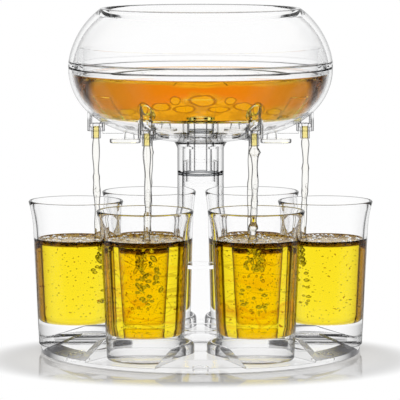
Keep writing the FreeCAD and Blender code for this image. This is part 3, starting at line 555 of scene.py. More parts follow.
glass_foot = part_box("glass_1")[0].z
looks = {
    "tray_acrylic": clear_look(
        "tray_acrylic", 1.1, SLENDER, ink=DEEP_SHADE, line=1.0, crease=(0.968, 0.996),
        line_over=BAY_FLOOR, line_reach=TRAY_RIM, sole=TRAY_SOLE,
    ),
    "stem_acrylic": clear_look("stem_acrylic", 1.12, (0.42, 0.8), edge=THICK_EDGE_SHADE, line=0.25),
    "bowl_acrylic": clear_look("bowl_acrylic", 1.1, BARELY),
    "nozzle_acrylic": clear_look("nozzle_acrylic", 1.25, NARROW, ink=DEEP_SHADE, line=1.0),
    "valve_acrylic": clear_look("valve_acrylic", 1.08, (0.45, 0.8)),
    "stopper_acrylic": clear_look("stopper_acrylic", 1.15, (0.3, 0.6), ink=DEEP_SHADE, line=1.0),
    "clear_silicone": clear_look("clear_silicone", 1.3, SLENDER, face=SILICONE, edge=DEEP_SHADE),
    "shot_glass": clear_look(
        "shot_glass", GLASS, ROUND, rim=top_of("glass_1"), foot=glass_foot,
        base=glass_foot + BASE * MM, sole=glass_foot + GLASS_SOLE, smear=0.0, ripple=0.00001,
    ),
}

for name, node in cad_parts.items():
    slot_name = node.data.materials[0].name.split(".")[0]
    node.data.materials[0] = looks[slot_name]

seam_heights = (top_of("outer_shell"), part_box("upper_dome")[0].z)
own_looks = {
    "outer_shell": clear_look(
        "shell_acrylic", 1.08, WIDE, line=1.0,
        line_over=SOCKET_LOW, line_under=SOCKET_HIGH, lower_outline=NARROW,
    ),
    "upper_dome": clear_look("dome_acrylic", 1.1, ROUND, edge=SOFT_EDGE_SHADE, rim=top_of("upper_dome")),
    "joint_ring": clear_look("joint_acrylic", 1.03, BARELY, edge=SOFT_EDGE_SHADE, seams=seam_heights),
    "valve_knob": clear_look("knob_acrylic", 1.2, PEG, line=1.0),
    "joint_seal_lower": clear_look("seal_silicone", 1.02, (0.95, 1.0)),
    "column": clear_look("column_acrylic", 1.2, (0.42, 0.85), edge=THICK_EDGE_SHADE, line=0.4),
    "tray_feet": clear_look("foot_silicone", 1.0, (0.9, 1.0)),
    "valve_spindle": clear_look("spindle_acrylic", 1.12, (0.35, 0.55)),
}
own_looks["joint_seal_upper"] = own_looks["joint_seal_lower"]
for name, look in own_looks.items():
    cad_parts[name].data.materials[0] = look
print("materials:", sorted(looks) + sorted(own_looks))


# %% [markdown]
# ## The drink
# The drink is a real body of liquid: it bends light like water and takes some green and nearly all blue
# out of it on the way, so it is bright yellow in a narrow glass, orange across the wide bowl and almost
# colourless in a thin stream. Where its skin is seen edge on, a painted brown shade darkens it.
#
# Some of the light and shade that a moving drink shows is painted on its skin. In the bowl that is a
# pale golden mound over the valve, a painted glow under a darker painted amber, with painted highlights
# as rounded lobes and brown lines of painted shade between them, which stand for what the hub and knob
# do to the light. In the front glasses it is the swirl and the streaks of the stirred drink, painted as
# shade. These patterns lie in the drink's own axes, on the side that faces the front.

# %% Colours and levels of the drink
WATER = 1.34
SIDE_SURFACE = 59.2
FRONT_SURFACE = 64.5
REAR_SURFACE = 53.5
LEVELS = {
    1: SIDE_SURFACE, 4: SIDE_SURFACE, 5: FRONT_SURFACE, 6: FRONT_SURFACE, 2: REAR_SURFACE, 3: REAR_SURFACE,
}
DRINK_FLOOR = glass_foot + BASE * MM
BOWL_LEVEL = 146.9
BOWL_SURFACE = (BOWL_LEVEL - 0.5) * MM

# Most of these colours are painted light and shade on the drink's skin, as said where each is used.
BROWN_EDGE_SHADE = (0.35, 0.2, 0.05, 1)
GREY_BROWN_EDGE_SHADE = (0.5, 0.4, 0.5, 1)
THIN_EDGE_SHADE = (0.006, 0.0055, 0.005, 1)
AMBER = (0.95, 0.3, 0.01, 1)
REFRACTION_SHADE_BROWN = (0.16, 0.04, 0.005, 1)
LOBE_HIGHLIGHT_GOLD = (1.0, 0.97, 0.1, 1)
SIDE_SHADE_TINT = (0.5, 0.64, 0.9, 1)
STIR_GOLD = (0.8, 0.42, 0.05, 1)
STIR_BROWN = (0.2, 0.06, 0.005, 1)
SWIRL_ORANGE = (0.6, 0.16, 0.01, 1)
TIP_GOLD = (0.95, 0.82, 0.32, 1)
FLOOR_SHADE_OLIVE = (0.2, 0.12, 0.02, 1)
MENISCUS_SHADE_BROWN = (0.03, 0.008, 0.001, 1)
FILM_HIGHLIGHT_GOLD = (0.8, 0.5, 0.05, 1)
FILM_BROWN = (0.12, 0.05, 0.01, 1)
DRINK_SHADOW = (0.98, 0.88, 0.6, 1)
BUBBLE_EDGE_SHADE = (0.012, 0.005, 0.001, 1)

# red, green and blue that are lost per metre
PALE_GOLD = (0.3, 6.5, 105.0)
DEEP_GOLD = (0.6, 7.5, 120.0)
BOWL_GOLD = (0.2, 2.6, 26.0)
STREAM_GOLD = (0.5, 3.0, 14.0)

SWIRL_HEIGHT = 27 * MM
SWIRL_SWING = 30 * MM
MOUND_HEIGHT = 11 * MM
MOUND_REACH = 21 * MM
AMBER_STARTS = (126 * MM, 131 * MM)
TIP_STARTS = (111.8 * MM, 113.2 * MM)
LOBE_WOBBLE = 2.5

# the golden lobes, painted highlights: sideways place, height, half width and half height in millimetres
LOBES = [
    (1.0, 136.9, 6.4, 2.7), (-12.7, 136.6, 2.5, 2.0), (15.0, 136.6, 2.7, 2.0), (-28.9, 131.9, 2.9, 3.1),
    (28.9, 131.9, 2.9, 3.1), (-37.0, 130.3, 3.8, 1.4), (37.0, 130.3, 3.8, 1.4), (-20.0, 133.6, 4.4, 1.7),
    (21.5, 133.4, 4.6, 1.8), (-8.0, 132.6, 5.2, 1.5), (9.0, 132.3, 5.0, 1.5),
]


# %% Drink in the bowl: painted mound, shade lines and highlights
def distance_to_lobes(tree, place, warp):
    """How far the nearest lobe's middle is, where one is its edge. A noise bends the edges, and because
    its mean is a half, each lobe is moved by half the wobble to stay in place."""
    swing = (LOBE_WOBBLE * MM, 0, LOBE_WOBBLE * MM)
    wobble = {0: warp.outputs["Color"], 1: swing, 2: place.outputs["Object"]}
    bent = put(tree, "VectorMath", wobble, operation="MULTIPLY_ADD").outputs[0]
    nearest = EVERYWHERE
    for x, z, half_width, half_height in LOBES:
        middle = ((x + LOBE_WOBBLE / 2) * MM, 0, (z + LOBE_WOBBLE / 2) * MM)
        moved = put(tree, "VectorMath", {0: bent, 1: middle}, operation="SUBTRACT")
        shrink = (1 / (half_width * MM), 0, 1 / (half_height * MM))
        shrunk = put(tree, "VectorMath", {0: moved.outputs[0], 1: shrink}, operation="MULTIPLY")
        apart = put(tree, "VectorMath", {0: shrunk.outputs[0]}, operation="LENGTH").outputs["Value"]
        nearest = free_maths(tree, "MINIMUM", nearest, apart)
    return nearest


def bowl_colours(tree, place, shape, height, amber):
    """The painted light and shade of the bowl's drink, and the share of its skin that faces outwards."""
    side = linear(tree, shape.outputs["Backfacing"], -2.0, 1.0)
    outside = rise(tree, free_maths(tree, "MULTIPLY", facing_out(tree, place, shape), side), 0.1, 0.5)
    axes = put(tree, "SeparateXYZ", {0: place.outputs["Object"]})
    in_front = below(tree, axes.outputs["Y"], -0.02, 0.02)

    # the mound is highest in the middle and lower on the far side
    spread = free_maths(tree, "MULTIPLY", axes.outputs["X"], 1 / MOUND_REACH)
    mound = free_maths(tree, "DIVIDE", MOUND_HEIGHT, linear(tree, spread, spread, 1.0))
    mound = free_maths(tree, "MULTIPLY", mound, linear(tree, in_front, 0.64, 0.36))
    mound = free_maths(tree, "ADD", mound, linear(tree, in_front, -0.005, 0.005))
    stretched = scaled_place(tree, place, (1.0, 1.0, 1.9))
    waves = put(tree, "TexNoise", {"Vector": stretched, "Scale": 70.0, "Detail": 2.0})
    wavy = free_maths(tree, "ADD", height, linear(tree, waves.outputs["Fac"], 0.01, -0.005))
    # under the mound the skin stays pale, a painted glow of light coming up through hub and knob; above it
    # lies a darker painted amber
    above = rise(tree, free_maths(tree, "SUBTRACT", wavy, mound), *amber)
    ground = paint(tree, above, outside, WHITE, AMBER)

    # brown lines of painted shade run between rounded cells inside the mound, where hub and arms bend the
    # light
    warp = put(tree, "TexNoise", {"Vector": stretched, "Scale": 110.0, "Detail": 2.0})
    pull = {0: warp.outputs["Color"], 1: (0.016, 0.016, 0.016), 2: stretched}
    warped = put(tree, "VectorMath", pull, operation="MULTIPLY_ADD")
    cells = put(tree, "TexVoronoi", {"Vector": warped.outputs[0], "Scale": 105.0}, feature="F1")
    shade_line = times(tree, rise(tree, cells.outputs["Distance"], 0.36, 0.62), outside)
    shade_line = times(tree, shade_line, maths(tree, "SUBTRACT", 1.0, above))
    ground = paint(tree, shade_line, 0.45, ground, REFRACTION_SHADE_BROWN)

    # each lobe is a painted golden highlight with a brown rim of painted shade
    apart = distance_to_lobes(tree, place, warp)
    lobe = below(tree, apart, 0.8, 0.95)
    rim = maths(tree, "SUBTRACT", rise(tree, apart, 0.8, 0.98), rise(tree, apart, 1.05, 1.25))
    shown = times(tree, in_front, outside)
    lobe_rim_shade = times(tree, times(tree, rim, shown), 0.85)
    ground = blend(tree, lobe_rim_shade, ground, REFRACTION_SHADE_BROWN)
    ground = paint(tree, lobe, shown, ground, LOBE_HIGHLIGHT_GOLD)

    # towards the sides a painted shade makes the drink darker
    aside = free_maths(tree, "ABSOLUTE", axes.outputs["X"])
    to_side = times(tree, rise(tree, aside, 0.012, 0.05), shown)
    tinted = {0: to_side, 6: ground, 7: SIDE_SHADE_TINT}
    ground = put(tree, "Mix", tinted, data_type="RGBA", blend_type="MULTIPLY").outputs[2]
    return ground, outside


# %% Drink in a glass: painted streaks, swirl, specks and meniscus shade
def glass_colours(tree, place, height, wall, colour, level, streaks):
    """The colour of a glass's drink on its walls, with its painted shade, and the share of it that is near
    the surface.
    """
    # painted shade of the stirred drink: darker gold patches and thin brown streaks
    flowing = scaled_place(tree, place, (1.0, 1.0, 2.2))
    noise = {"Vector": flowing, "Scale": 26.0, "Detail": 2.0, "Distortion": 1.6}
    stir = put(tree, "TexNoise", noise).outputs["Fac"]
    off = free_maths(tree, "ABSOLUTE", free_maths(tree, "SUBTRACT", stir, 0.5))
    streak = maths(tree, "SUBTRACT", streaks, rise(tree, off, 0.002, 0.012, streaks))
    shaded = rise(tree, stir, 0.52, 0.68, streaks)
    colour = paint(tree, shaded, wall, colour, STIR_GOLD)
    colour = paint(tree, streak, wall, colour, STIR_BROWN)

    # a painted orange band of shade swings round the wall
    swirl_height = linear(tree, stir, SWIRL_SWING, SWIRL_HEIGHT - SWIRL_SWING / 2)
    from_swirl = free_maths(tree, "ABSOLUTE", free_maths(tree, "SUBTRACT", height, swirl_height))
    swirl_band = maths(tree, "SUBTRACT", streaks, rise(tree, from_swirl, 0.1 * MM, 1.6 * MM, streaks))
    colour = paint(tree, swirl_band, wall, colour, SWIRL_ORANGE)

    grains = put(tree, "TexNoise", {"Vector": place.outputs["Object"], "Scale": 700.0, "Detail": 1.0})
    speck = rise(tree, grains.outputs["Fac"], 0.71, 0.74)
    colour = paint(tree, speck, wall, colour, STIR_BROWN)

    # painted shade: the drink turns dark olive just over the glass's floor
    above_floor = rise(tree, height, DRINK_FLOOR + 0.3 * MM, DRINK_FLOOR + 1.3 * MM, 0.8)
    at_floor = maths(tree, "SUBTRACT", 0.8, above_floor)
    colour = paint(tree, at_floor, wall, colour, FLOOR_SHADE_OLIVE)
    # painted shade: a dark brown band just under the surface, at the meniscus
    near_top = rise(tree, height, level - 2.6 * MM, level - 1.9 * MM)
    colour = paint(tree, near_top, wall, colour, MENISCUS_SHADE_BROWN)
    return colour, near_top


# %% Drink materials
def drink_look(name, absorbed, edge, gain, power, level=None, streaks=0.0, amber=None, tip=None):
    """A clear liquid.

    absorbed is how much red, green and blue it takes out per metre. edge is the painted shade it takes
    where it is seen edge on, and gain and power say how soon that comes. level is the height of its
    surface in a glass, and streaks how strong the painted stir shows there. amber is the pair of heights
    between which a painted amber shade comes over the bowl's drink, and tip the pair between which a
    stream turns golden."""
    look, tree = begin_look(name)
    place = put(tree, "TexCoord")
    ripples = put(tree, "TexNoise", {"Vector": place.outputs["Object"], "Scale": 120.0, "Detail": 2.0})
    bump = put(tree, "Bump", {"Strength": 1.0, "Distance": 0.00004, "Height": ripples.outputs["Fac"]})
    slant = put(tree, "LayerWeight", {"Blend": 0.5}).outputs["Facing"]
    shape = put(tree, "NewGeometry")
    upright = put(tree, "SeparateXYZ", {0: shape.outputs["Normal"]}).outputs["Z"]
    level_share = free_maths(tree, "MULTIPLY", upright, upright)
    wall = maths(tree, "SUBTRACT", 1.0, level_share)
    height = put(tree, "SeparateXYZ", {0: place.outputs["Object"]}).outputs["Z"]
    ground = WHITE
    if amber:
        ground, outside = bowl_colours(tree, place, shape, height, amber)
        wall = times(tree, wall, outside)
    if tip:
        ground = blend(tree, rise(tree, height, *tip), ground, TIP_GOLD)
    # painted shade where the skin is seen edge on
    turned = times(tree, maths(tree, "POWER", slant, power), gain)
    colour = paint(tree, turned, wall, ground, edge)
    if level:
        colour, near_top = glass_colours(tree, place, height, wall, colour, level, streaks)
    skin = clear_body(tree, colour, 0.0, WATER, bump)
    if level:
        # the top of the drink is an opaque film: froth, painted in brown shade with gold highlights
        froth = put(tree, "TexNoise", {"Vector": place.outputs["Object"], "Scale": 420.0, "Detail": 3.0})
        film_colour = blend(tree, rise(tree, froth.outputs["Fac"], 0.46, 0.6), FILM_HIGHLIGHT_GOLD, FILM_BROWN)
        film = put(tree, "BsdfPrincipled", {"Base Color": film_colour, "Roughness": 0.25})
        on_top = times(tree, times(tree, near_top, level_share), 0.9)
        skin = put(tree, "MixShader", {0: on_top, 1: skin, 2: film.outputs[0]}).outputs[0]
    if amber:
        # the calm surface mirrors the white room where it is seen at a low slant
        calm = put(tree, "BsdfGlossy", {"Color": WHITE, "Roughness": 0.0})
        upper = rise(tree, height, BOWL_SURFACE - 1.5 * MM, BOWL_SURFACE - 1.0 * MM, 0.85)
        flat_top = times(tree, rise(tree, level_share, 0.9, 0.99), upper)
        low_slant = times(tree, rise(tree, slant, 0.7, 0.88), flat_top)
        skin = put(tree, "MixShader", {0: low_slant, 1: skin, 2: calm.outputs[0]}).outputs[0]
    density = max(absorbed)
    kept = tuple(1 - part / density for part in absorbed) + (1,)
    depth = put(tree, "VolumeAbsorption", {"Color": kept, "Density": density})
    surface = pass_light(tree, skin, DRINK_SHADOW)
    put(tree, "OutputMaterial", {"Surface": surface, "Volume": depth.outputs[0]})
    return look


def bubble_look(name, ior):
    """Air in the drink: a ray bends away from it, so its edge is dark and its middle clear. The dark edge
    is painted on as shade.
    """
    look, tree = begin_look(name)
    slant = put(tree, "LayerWeight", {"Blend": 0.5}).outputs["Facing"]
    tint = blend(tree, free_maths(tree, "POWER", slant, 0.5), WHITE, BUBBLE_EDGE_SHADE)
    body = put(
        tree,
        "BsdfPrincipled",
        {"Base Color": tint, "Roughness": 0.0, "IOR": ior, "Transmission Weight": 1.0},
    )
    put(tree, "OutputMaterial", {"Surface": pass_light(tree, body.outputs[0], WHITE)})
    return look


drink_looks = {
    SIDE_SURFACE: drink_look("golden_drink", PALE_GOLD, BROWN_EDGE_SHADE, 15.0, 3.0, SIDE_SURFACE * MM),
    FRONT_SURFACE: drink_look(
        "golden_drink_front", DEEP_GOLD, BROWN_EDGE_SHADE, 9.0, 3.0, FRONT_SURFACE * MM, streaks=0.5
    ),
    REAR_SURFACE: drink_look("golden_drink_rear", DEEP_GOLD, BROWN_EDGE_SHADE, 7.0, 3.0, REAR_SURFACE * MM),
}
# in the bowl the painted edge shade is a greyish brown, which also stands for the sheen on the bowl's wall
looks["amber_drink"] = drink_look("amber_drink", BOWL_GOLD, GREY_BROWN_EDGE_SHADE, 1.0, 0.8, amber=AMBER_STARTS)
looks["stream_drink"] = drink_look(
    "golden_drink_thin", STREAM_GOLD, THIN_EDGE_SHADE, 14.0, 3.0, tip=TIP_STARTS
)
looks["air_bubble"] = bubble_look("air_bubble", 1 / WATER)
print("drink materials:", len(drink_looks) + 3)


# %% [markdown]
# ## Turned shapes
# The drink takes the shape of the vessel around it, and both are round. So each outline is drawn once,
# by extruding one vertex from point to point, and then spun about the vessel's axis.

# %% Spin helper
def draw_and_spin(name, outline, centre=(0, 0), steps=96):
    """Extrudes a vertex along (radius, height) points and spins the line once round the upright axis."""
    cx, cy = centre
    bpy.ops.object.select_all(action="DESELECT")
    bpy.ops.mesh.primitive_plane_add(size=0.001)
    piece = bpy.context.object
    piece.name = name
    bpy.ops.object.mode_set(mode="EDIT")
    bpy.ops.mesh.merge(type="CENTER")
    bpy.ops.transform.translate(value=Vector((cx + outline[0][0], cy, outline[0][1])))
    for (r0, z0), (r1, z1) in zip(outline, outline[1:]):
        bpy.ops.mesh.extrude_region_move(TRANSFORM_OT_translate={"value": (r1 - r0, 0, z1 - z0)})
    bpy.ops.mesh.select_all(action="SELECT")
    bpy.ops.mesh.spin(steps=steps, angle=math.tau, center=(cx, cy, 0), axis=(0, 0, 1))
    bpy.ops.mesh.select_all(action="SELECT")
    bpy.ops.mesh.remove_doubles(threshold=0.00001)
    bpy.ops.mesh.normals_make_consistent(inside=False)
    bpy.ops.object.mode_set(mode="OBJECT")
    bpy.ops.object.shade_smooth_by_angle(angle=math.radians(40))
    return piece


def copy_to(piece, name, centre):
    """A copy with a mesh of its own, moved sideways, its origin back at the world's."""
    bpy.ops.object.select_all(action="DESELECT")
    piece.select_set(True)
    bpy.context.view_layer.objects.active = piece
    bpy.ops.object.duplicate()
    twin = bpy.context.object
    twin.name = name
    twin.location = (centre[0], centre[1], 0)
    bpy.ops.object.transform_apply(location=True, rotation=False, scale=False)
    return twin


def arc_to(start, end, radius, steps):
    """Points after start on the arc to end. A positive radius has its centre left of the way there."""
    first = Vector(start)
    last = Vector(end)
    way = last - first
    half = way.length / 2
    reach = math.sqrt(radius**2 - half**2)
    side = 1 if radius > 0 else -1
    centre = (first + last) / 2 + Vector((-way.y, way.x)).normalized() * reach * side
    turn = 2 * math.asin(half / abs(radius)) * side
    points = []
    for step in range(1, steps + 1):
        arm = first - centre
        arm.rotate(Matrix.Rotation(turn * step / steps, 2))
        points.append(tuple(centre + arm))
    return points


def in_metres(outline, grow=0.0):
    """Turns (radius, height) in millimetres to metres, with every point off the axis moved outwards."""
    return [((r + grow if r > 0 else 0) * MM, z * MM) for r, z in outline]


# %% [markdown]
# ## The shot glasses
# A pressed shot glass has a thick clear base, a hollow with a rounded corner, a lip that flares and a
# fire polished edge. Its underside is slightly hollow, so that it stands on a ring. Glass shows every
# facet, so these are spun finely, with the small roundings that catch the light.

# %% Glasses
WALL = 2.1
LIP_WALL = 1.6
FOOT = 19.8
NECK = (22.55, 61.0)
LIP = (25.0, 76.4)
CORNER = 4.0
FLARE = 60.0

inner_foot = FOOT - WALL
inner_neck = (NECK[0] - WALL, NECK[1])
glass_outline = [(0, 0.9), (15.0, 0.7)]
glass_outline += arc_to((15.0, 0.7), (17.0, 0.0), 4.0, 3)
glass_outline += [(18.6, 0.0)]
glass_outline += arc_to((18.6, 0.0), (FOOT, 1.4), 1.8, 4)
glass_outline += [NECK]
glass_outline += arc_to(NECK, LIP, -FLARE, 6)
inner_lip = (LIP[0] - LIP_WALL, LIP[1])
glass_outline += arc_to(LIP, inner_lip, LIP_WALL / 2 + 0.01, 8)
glass_outline += arc_to(inner_lip, inner_neck, FLARE + LIP_WALL, 6)
corner_top = (inner_foot + 0.25, BASE + CORNER)
corner_foot = (corner_top[0] - CORNER, BASE)
glass_outline += [corner_top]
glass_outline += arc_to(corner_top, corner_foot, -CORNER * 1.01, 7)
glass_outline += [(0, BASE)]


def middle_of(node):
    """The middle of a node's box, as (x, y), and its lowest height."""
    low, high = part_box(node)
    return ((low.x + high.x) / 2, (low.y + high.y) / 2), low.z


foot_z = middle_of("glass_1")[1]
pattern = draw_and_spin("glass_pattern", [(r, z + foot_z) for r, z in in_metres(glass_outline)], steps=112)
pattern.data.materials.append(looks["shot_glass"])
for k in range(1, 7):
    glass = copy_to(pattern, f"shot_glass_{k}", middle_of(f"glass_{k}")[0])
    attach(glass, f"glass_{k}")
    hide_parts(f"glass_{k}")
bpy.data.objects.remove(pattern)
print("glass outline points:", len(glass_outline))

# %% [markdown]
# ## The drink in the glasses
# A liquid wets glass: it creeps up the wall in a thin meniscus, and there is no air between the two. So
# each body of drink reaches a hair's breadth into its glass, which makes the renderer bend the light as
# if they touched, and its edge curls up at the wall.

# %% Drink in the glasses
TOUCH = 0.06
MENISCUS = [(0.0, 0.5), (-0.5, -0.1), (-1.3, -0.5), (-2.6, -0.75), (-4.5, -0.85)]


def wall_radius(height):
    """Inner radius of a glass at a height over its foot."""
    share = (height - BASE) / (NECK[1] - BASE)
    return inner_foot + share * (NECK[0] - FOOT)


for surface, look in drink_looks.items():
    level = surface - foot_z / MM
    side = wall_radius(level)
    points = [(0, BASE - TOUCH), (corner_foot[0], BASE - TOUCH)]
    points += arc_to(points[-1], corner_top, CORNER * 1.01, 7)
    points += [(side + r, level + z) for r, z in MENISCUS]
    points += [(0, level + MENISCUS[-1][1])]
    pattern = draw_and_spin("drink_pattern", [(r, z + foot_z) for r, z in in_metres(points, TOUCH)])
    pattern.data.materials.append(look)
    for k in [k for k in LEVELS if LEVELS[k] == surface]:
        drink = copy_to(pattern, f"drink_in_glass_{k}", middle_of(f"glass_{k}")[0])
        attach(drink, f"glass_{k}")
    bpy.data.objects.remove(pattern)

# %% [markdown]
# ## The drink in the bowl
# The bowl's drink lies on its floor round the valve's hub and knob, and up its curved wall to just
# under the ring that joins the halves. Hub and knob push the drink aside, so it is thinner over them
# and looks yellow there.

# %% Drink in the bowl
knob_low, knob_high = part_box("valve_knob")
rotor_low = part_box("valve_rotor")[0].z / MM
BOWL_WALL = 2.0
FLOOR_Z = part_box("inner_bowl")[0].z / MM + BOWL_WALL
FLOOR_EDGE = 50.4
WALL_TOP = (65.1, 147.0)
HUB_RADIUS = 21.0
KNOB_RADIUS = knob_high.x / MM
KNOB_TOP = knob_high.z / MM
KNOB_FOOT = knob_low.z / MM

hub_line = [(0, KNOB_TOP - TOUCH), (KNOB_RADIUS - 4.6, KNOB_TOP - TOUCH)]
hub_line += [(KNOB_RADIUS - 3.8, KNOB_TOP - 0.7), (KNOB_RADIUS - 3.1, KNOB_FOOT + 2.0)]
hub_line += [(KNOB_RADIUS - 1.4, KNOB_FOOT + 1.0), (KNOB_RADIUS - TOUCH, KNOB_FOOT)]
hub_line += [(15.5, KNOB_FOOT - 1.5)]
hub_line += [(HUB_RADIUS - TOUCH, rotor_low + 1.6), (HUB_RADIUS - TOUCH, rotor_low)]
wall_line = arc_to((FLOOR_EDGE, FLOOR_Z), WALL_TOP, 68.0, 16)
wall_line = [(r + TOUCH, z) for r, z in wall_line if z < BOWL_LEVEL - 0.4]
top_line = [(WALL_TOP[0] + TOUCH - 0.02, BOWL_LEVEL), (WALL_TOP[0] - 0.9, BOWL_LEVEL - 0.35)]
top_line += [(WALL_TOP[0] - 2.6, BOWL_LEVEL - 0.5), (0, BOWL_LEVEL - 0.5)]
floor_line = [(HUB_RADIUS, FLOOR_Z - TOUCH), (FLOOR_EDGE, FLOOR_Z - TOUCH)]
outline = hub_line + floor_line + wall_line + top_line
bowl_drink = draw_and_spin("drink_in_bowl", in_metres(outline), steps=144)
bowl_drink.data.materials.append(looks["amber_drink"])

# over each open inlet the drink is drawn down into a smooth hollow
HOLLOW_RADIUS = 4.6
for k in range(1, 7):
    (x, y), tip_z = middle_of(f"nozzle_{k}")
    place = (x * 0.99, y * 0.99, (FLOOR_Z + 2.4) * MM)
    bpy.ops.object.select_all(action="DESELECT")
    bpy.ops.mesh.primitive_uv_sphere_add(
        segments=24, ring_count=14, radius=HOLLOW_RADIUS * MM, location=place
    )
    hollow = bpy.context.object
    hollow.name = f"hollow_{k}"
    bpy.ops.object.mode_set(mode="EDIT")
    bpy.ops.mesh.select_all(action="SELECT")
    bpy.ops.transform.resize(value=(1.0, 1.0, 1.25))
    bpy.ops.object.mode_set(mode="OBJECT")
    carve = bowl_drink.modifiers.new("hollow", "BOOLEAN")
    carve.operation = "DIFFERENCE"
    carve.object = hollow
    bpy.ops.object.select_all(action="DESELECT")
    bowl_drink.select_set(True)
    bpy.context.view_layer.objects.active = bowl_drink
    bpy.ops.object.modifier_apply(modifier=carve.name)
    bpy.data.objects.remove(hollow)
bpy.ops.object.shade_smooth_by_angle(angle=math.radians(40))
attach(bowl_drink, "head")

# %% [markdown]
# ## The falling streams
# A stream that leaves a round nozzle is never quite round: it swings between flat and round as it
# falls, which looks like links of a chain, and it wanders a little. Each stream is a disc, extruded
# downwards in short steps that are squeezed, turned and moved. It is made in two pieces, one that
# belongs to the head above the glass and one that belongs to the glass, so that head and glass can
# part.

# %% Streams
STREAM_SIDES = 20
STREAM_STEP = 1.4
SPLIT_HEIGHT = 84.0
IN_BORE = 6.5
STREAM_RADIUS = 1.6
BULGE = 0.5
BULGE_LENGTH = 9
SETTLE_LENGTH = 3.0
BEAD = 0.35
BEAD_LENGTH = 2.2
DROP_LENGTH = 1.5
FLATNESS = 0.14
FLARE_AT_SURFACE = 1.1
SMALL_STEP = 0.02

# where a drop swells a stream, and by how much, in millimetres
DROPS = {
    1: [(97.0, 0.5)], 3: [(101.0, 0.6)], 4: [(92.0, 0.5)], 5: [(76.0, 0.9)], 6: [(109.3, 0.9), (70.6, 1.7)],
}


def stream_shape(z, tip, rng):
    """Radius, flatness, turn and sideways place of a stream at a height, in millimetres."""
    fallen = tip - z
    settle = min(1.0, max(0.0, (fallen + 0.5) / SETTLE_LENGTH))
    radius = STREAM_RADIUS + settle * BULGE * math.exp(-max(fallen, 0) / BULGE_LENGTH)
    bead = math.exp(-(((z - SPLIT_HEIGHT) / BEAD_LENGTH) ** 2))
    drops = sum(size * math.exp(-(((z - place) / DROP_LENGTH) ** 2)) for place, size in rng["drops"])
    flat = FLATNESS * settle * math.sin(rng["links"] * fallen + rng["phase"])
    drift = settle * (0.15 + 0.012 * fallen)
    x = drift * math.sin(rng["sway"] * fallen + rng["phase"])
    y = drift * math.cos(rng["sway"] * fallen * 0.8 + rng["phase"])
    return radius + BEAD * bead + drops, flat * (1 - 0.5 * bead), rng["twist"] * fallen, x, y


def draw_stream(name, centre, top, bottom, tip, rng, flare):
    """Extrudes a disc from top down to bottom along the stream's shape."""
    heights = [top]
    while heights[-1] - STREAM_STEP > bottom:
        heights.append(heights[-1] - STREAM_STEP)
    heights.append(bottom)
    bpy.ops.object.select_all(action="DESELECT")
    bpy.ops.mesh.primitive_circle_add(vertices=STREAM_SIDES, radius=MM, fill_type="NGON")
    piece = bpy.context.object
    piece.name = name
    bpy.ops.object.mode_set(mode="EDIT")
    before = None
    for z in heights:
        radius, flat, turn, x, y = stream_shape(z, tip, rng)
        radius += flare * math.exp(-((z - bottom) / 1.5))
        here = Vector((centre[0] + x * MM, centre[1] + y * MM, z * MM))
        if before is None:
            bpy.ops.transform.translate(value=here)
            size = (radius * (1 + flat), radius * (1 - flat))
            bpy.ops.transform.resize(value=(size[0], size[1], 1), center_override=here)
        else:
            bpy.ops.mesh.extrude_region_move(TRANSFORM_OT_translate={"value": here - before})
            new = (radius * (1 + flat), radius * (1 - flat))
            change = (new[0] / size[0], new[1] / size[1], 1)
            bpy.ops.transform.resize(value=change, center_override=here)
            size = new
        before = here
    bpy.ops.mesh.select_all(action="SELECT")
    bpy.ops.mesh.normals_make_consistent(inside=False)
    bpy.ops.object.mode_set(mode="OBJECT")
    bpy.ops.object.shade_smooth_by_angle(angle=math.radians(50))
    piece.data.materials.append(looks["stream_drink"])
    return piece


draws = random.Random(7)
for k in range(1, 7):
    rng = {
        "links": draws.uniform(0.28, 0.4),
        "phase": draws.uniform(0, math.tau),
        "sway": draws.uniform(0.05, 0.1),
        "twist": draws.uniform(-0.05, 0.05),
        "drops": DROPS.get(k, []),
    }
    centre, tip_z = middle_of(f"nozzle_{k}")
    tip = tip_z / MM
    upper = draw_stream(f"stream_{k}", centre, tip + IN_BORE, SPLIT_HEIGHT, tip, rng, 0)
    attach(upper, "head")
    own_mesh(upper)
    surface = LEVELS[k] - 0.9
    lower = draw_stream(f"pour_{k}", centre, SPLIT_HEIGHT + SMALL_STEP, surface, tip, rng, FLARE_AT_SURFACE)
    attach(lower, f"glass_{k}")
    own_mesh(lower)
print("streams:", 6)

# %% [markdown]
# ## Bubbles
# The streams drag air into the drink. Near the surface it is torn into twisted pockets, lower down it
# rises as single bubbles, and at the top it gathers in a ring of froth against the glass.

# %% Bubble helpers
def add_ball(place, radius, stretch=(1, 1, 1), turn=(0, 0, 0), detail=2):
    """Adds a ball to the mesh in edit mode, or starts one."""
    bpy.ops.mesh.primitive_ico_sphere_add(
        subdivisions=detail, radius=radius * MM, location=place, rotation=turn, scale=stretch
    )


def begin(name, place):
    """Starts a mesh at a place with one small ball and leaves it in edit mode."""
    bpy.ops.object.select_all(action="DESELECT")
    bpy.ops.mesh.primitive_ico_sphere_add(subdivisions=2, radius=0.3 * MM)
    piece = bpy.context.object
    piece.name = name
    bpy.ops.object.mode_set(mode="EDIT")
    bpy.ops.transform.translate(value=place)
    return piece


def finish_bubbles(piece, body):
    """Leaves edit mode, smooths the faces and gives the look and the body."""
    bpy.ops.object.mode_set(mode="OBJECT")
    bpy.ops.object.shade_smooth()
    piece.data.materials.append(looks["air_bubble"])
    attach(piece, body)
    return piece


# %% Froth, pockets and bubbles in each glass
FINE_BUBBLES = 70
RISING_BUBBLES = 16
FROTH_BUBBLES = 90
FINE_SIZES = (0.2, 0.42)
RISING_SIZES = (0.5, 1.35)
RISING_DEPTHS = (14, 34)
FROTH_SIZES = (0.35, 1.15)
POCKET_SIZES = (0.8, 1.5)
POCKET_TILT = 0.9
POCKET_BALLS = 20
POCKET_DEPTH = {1: 12, 2: 10, 3: 10, 4: 11, 5: 25, 6: 14}

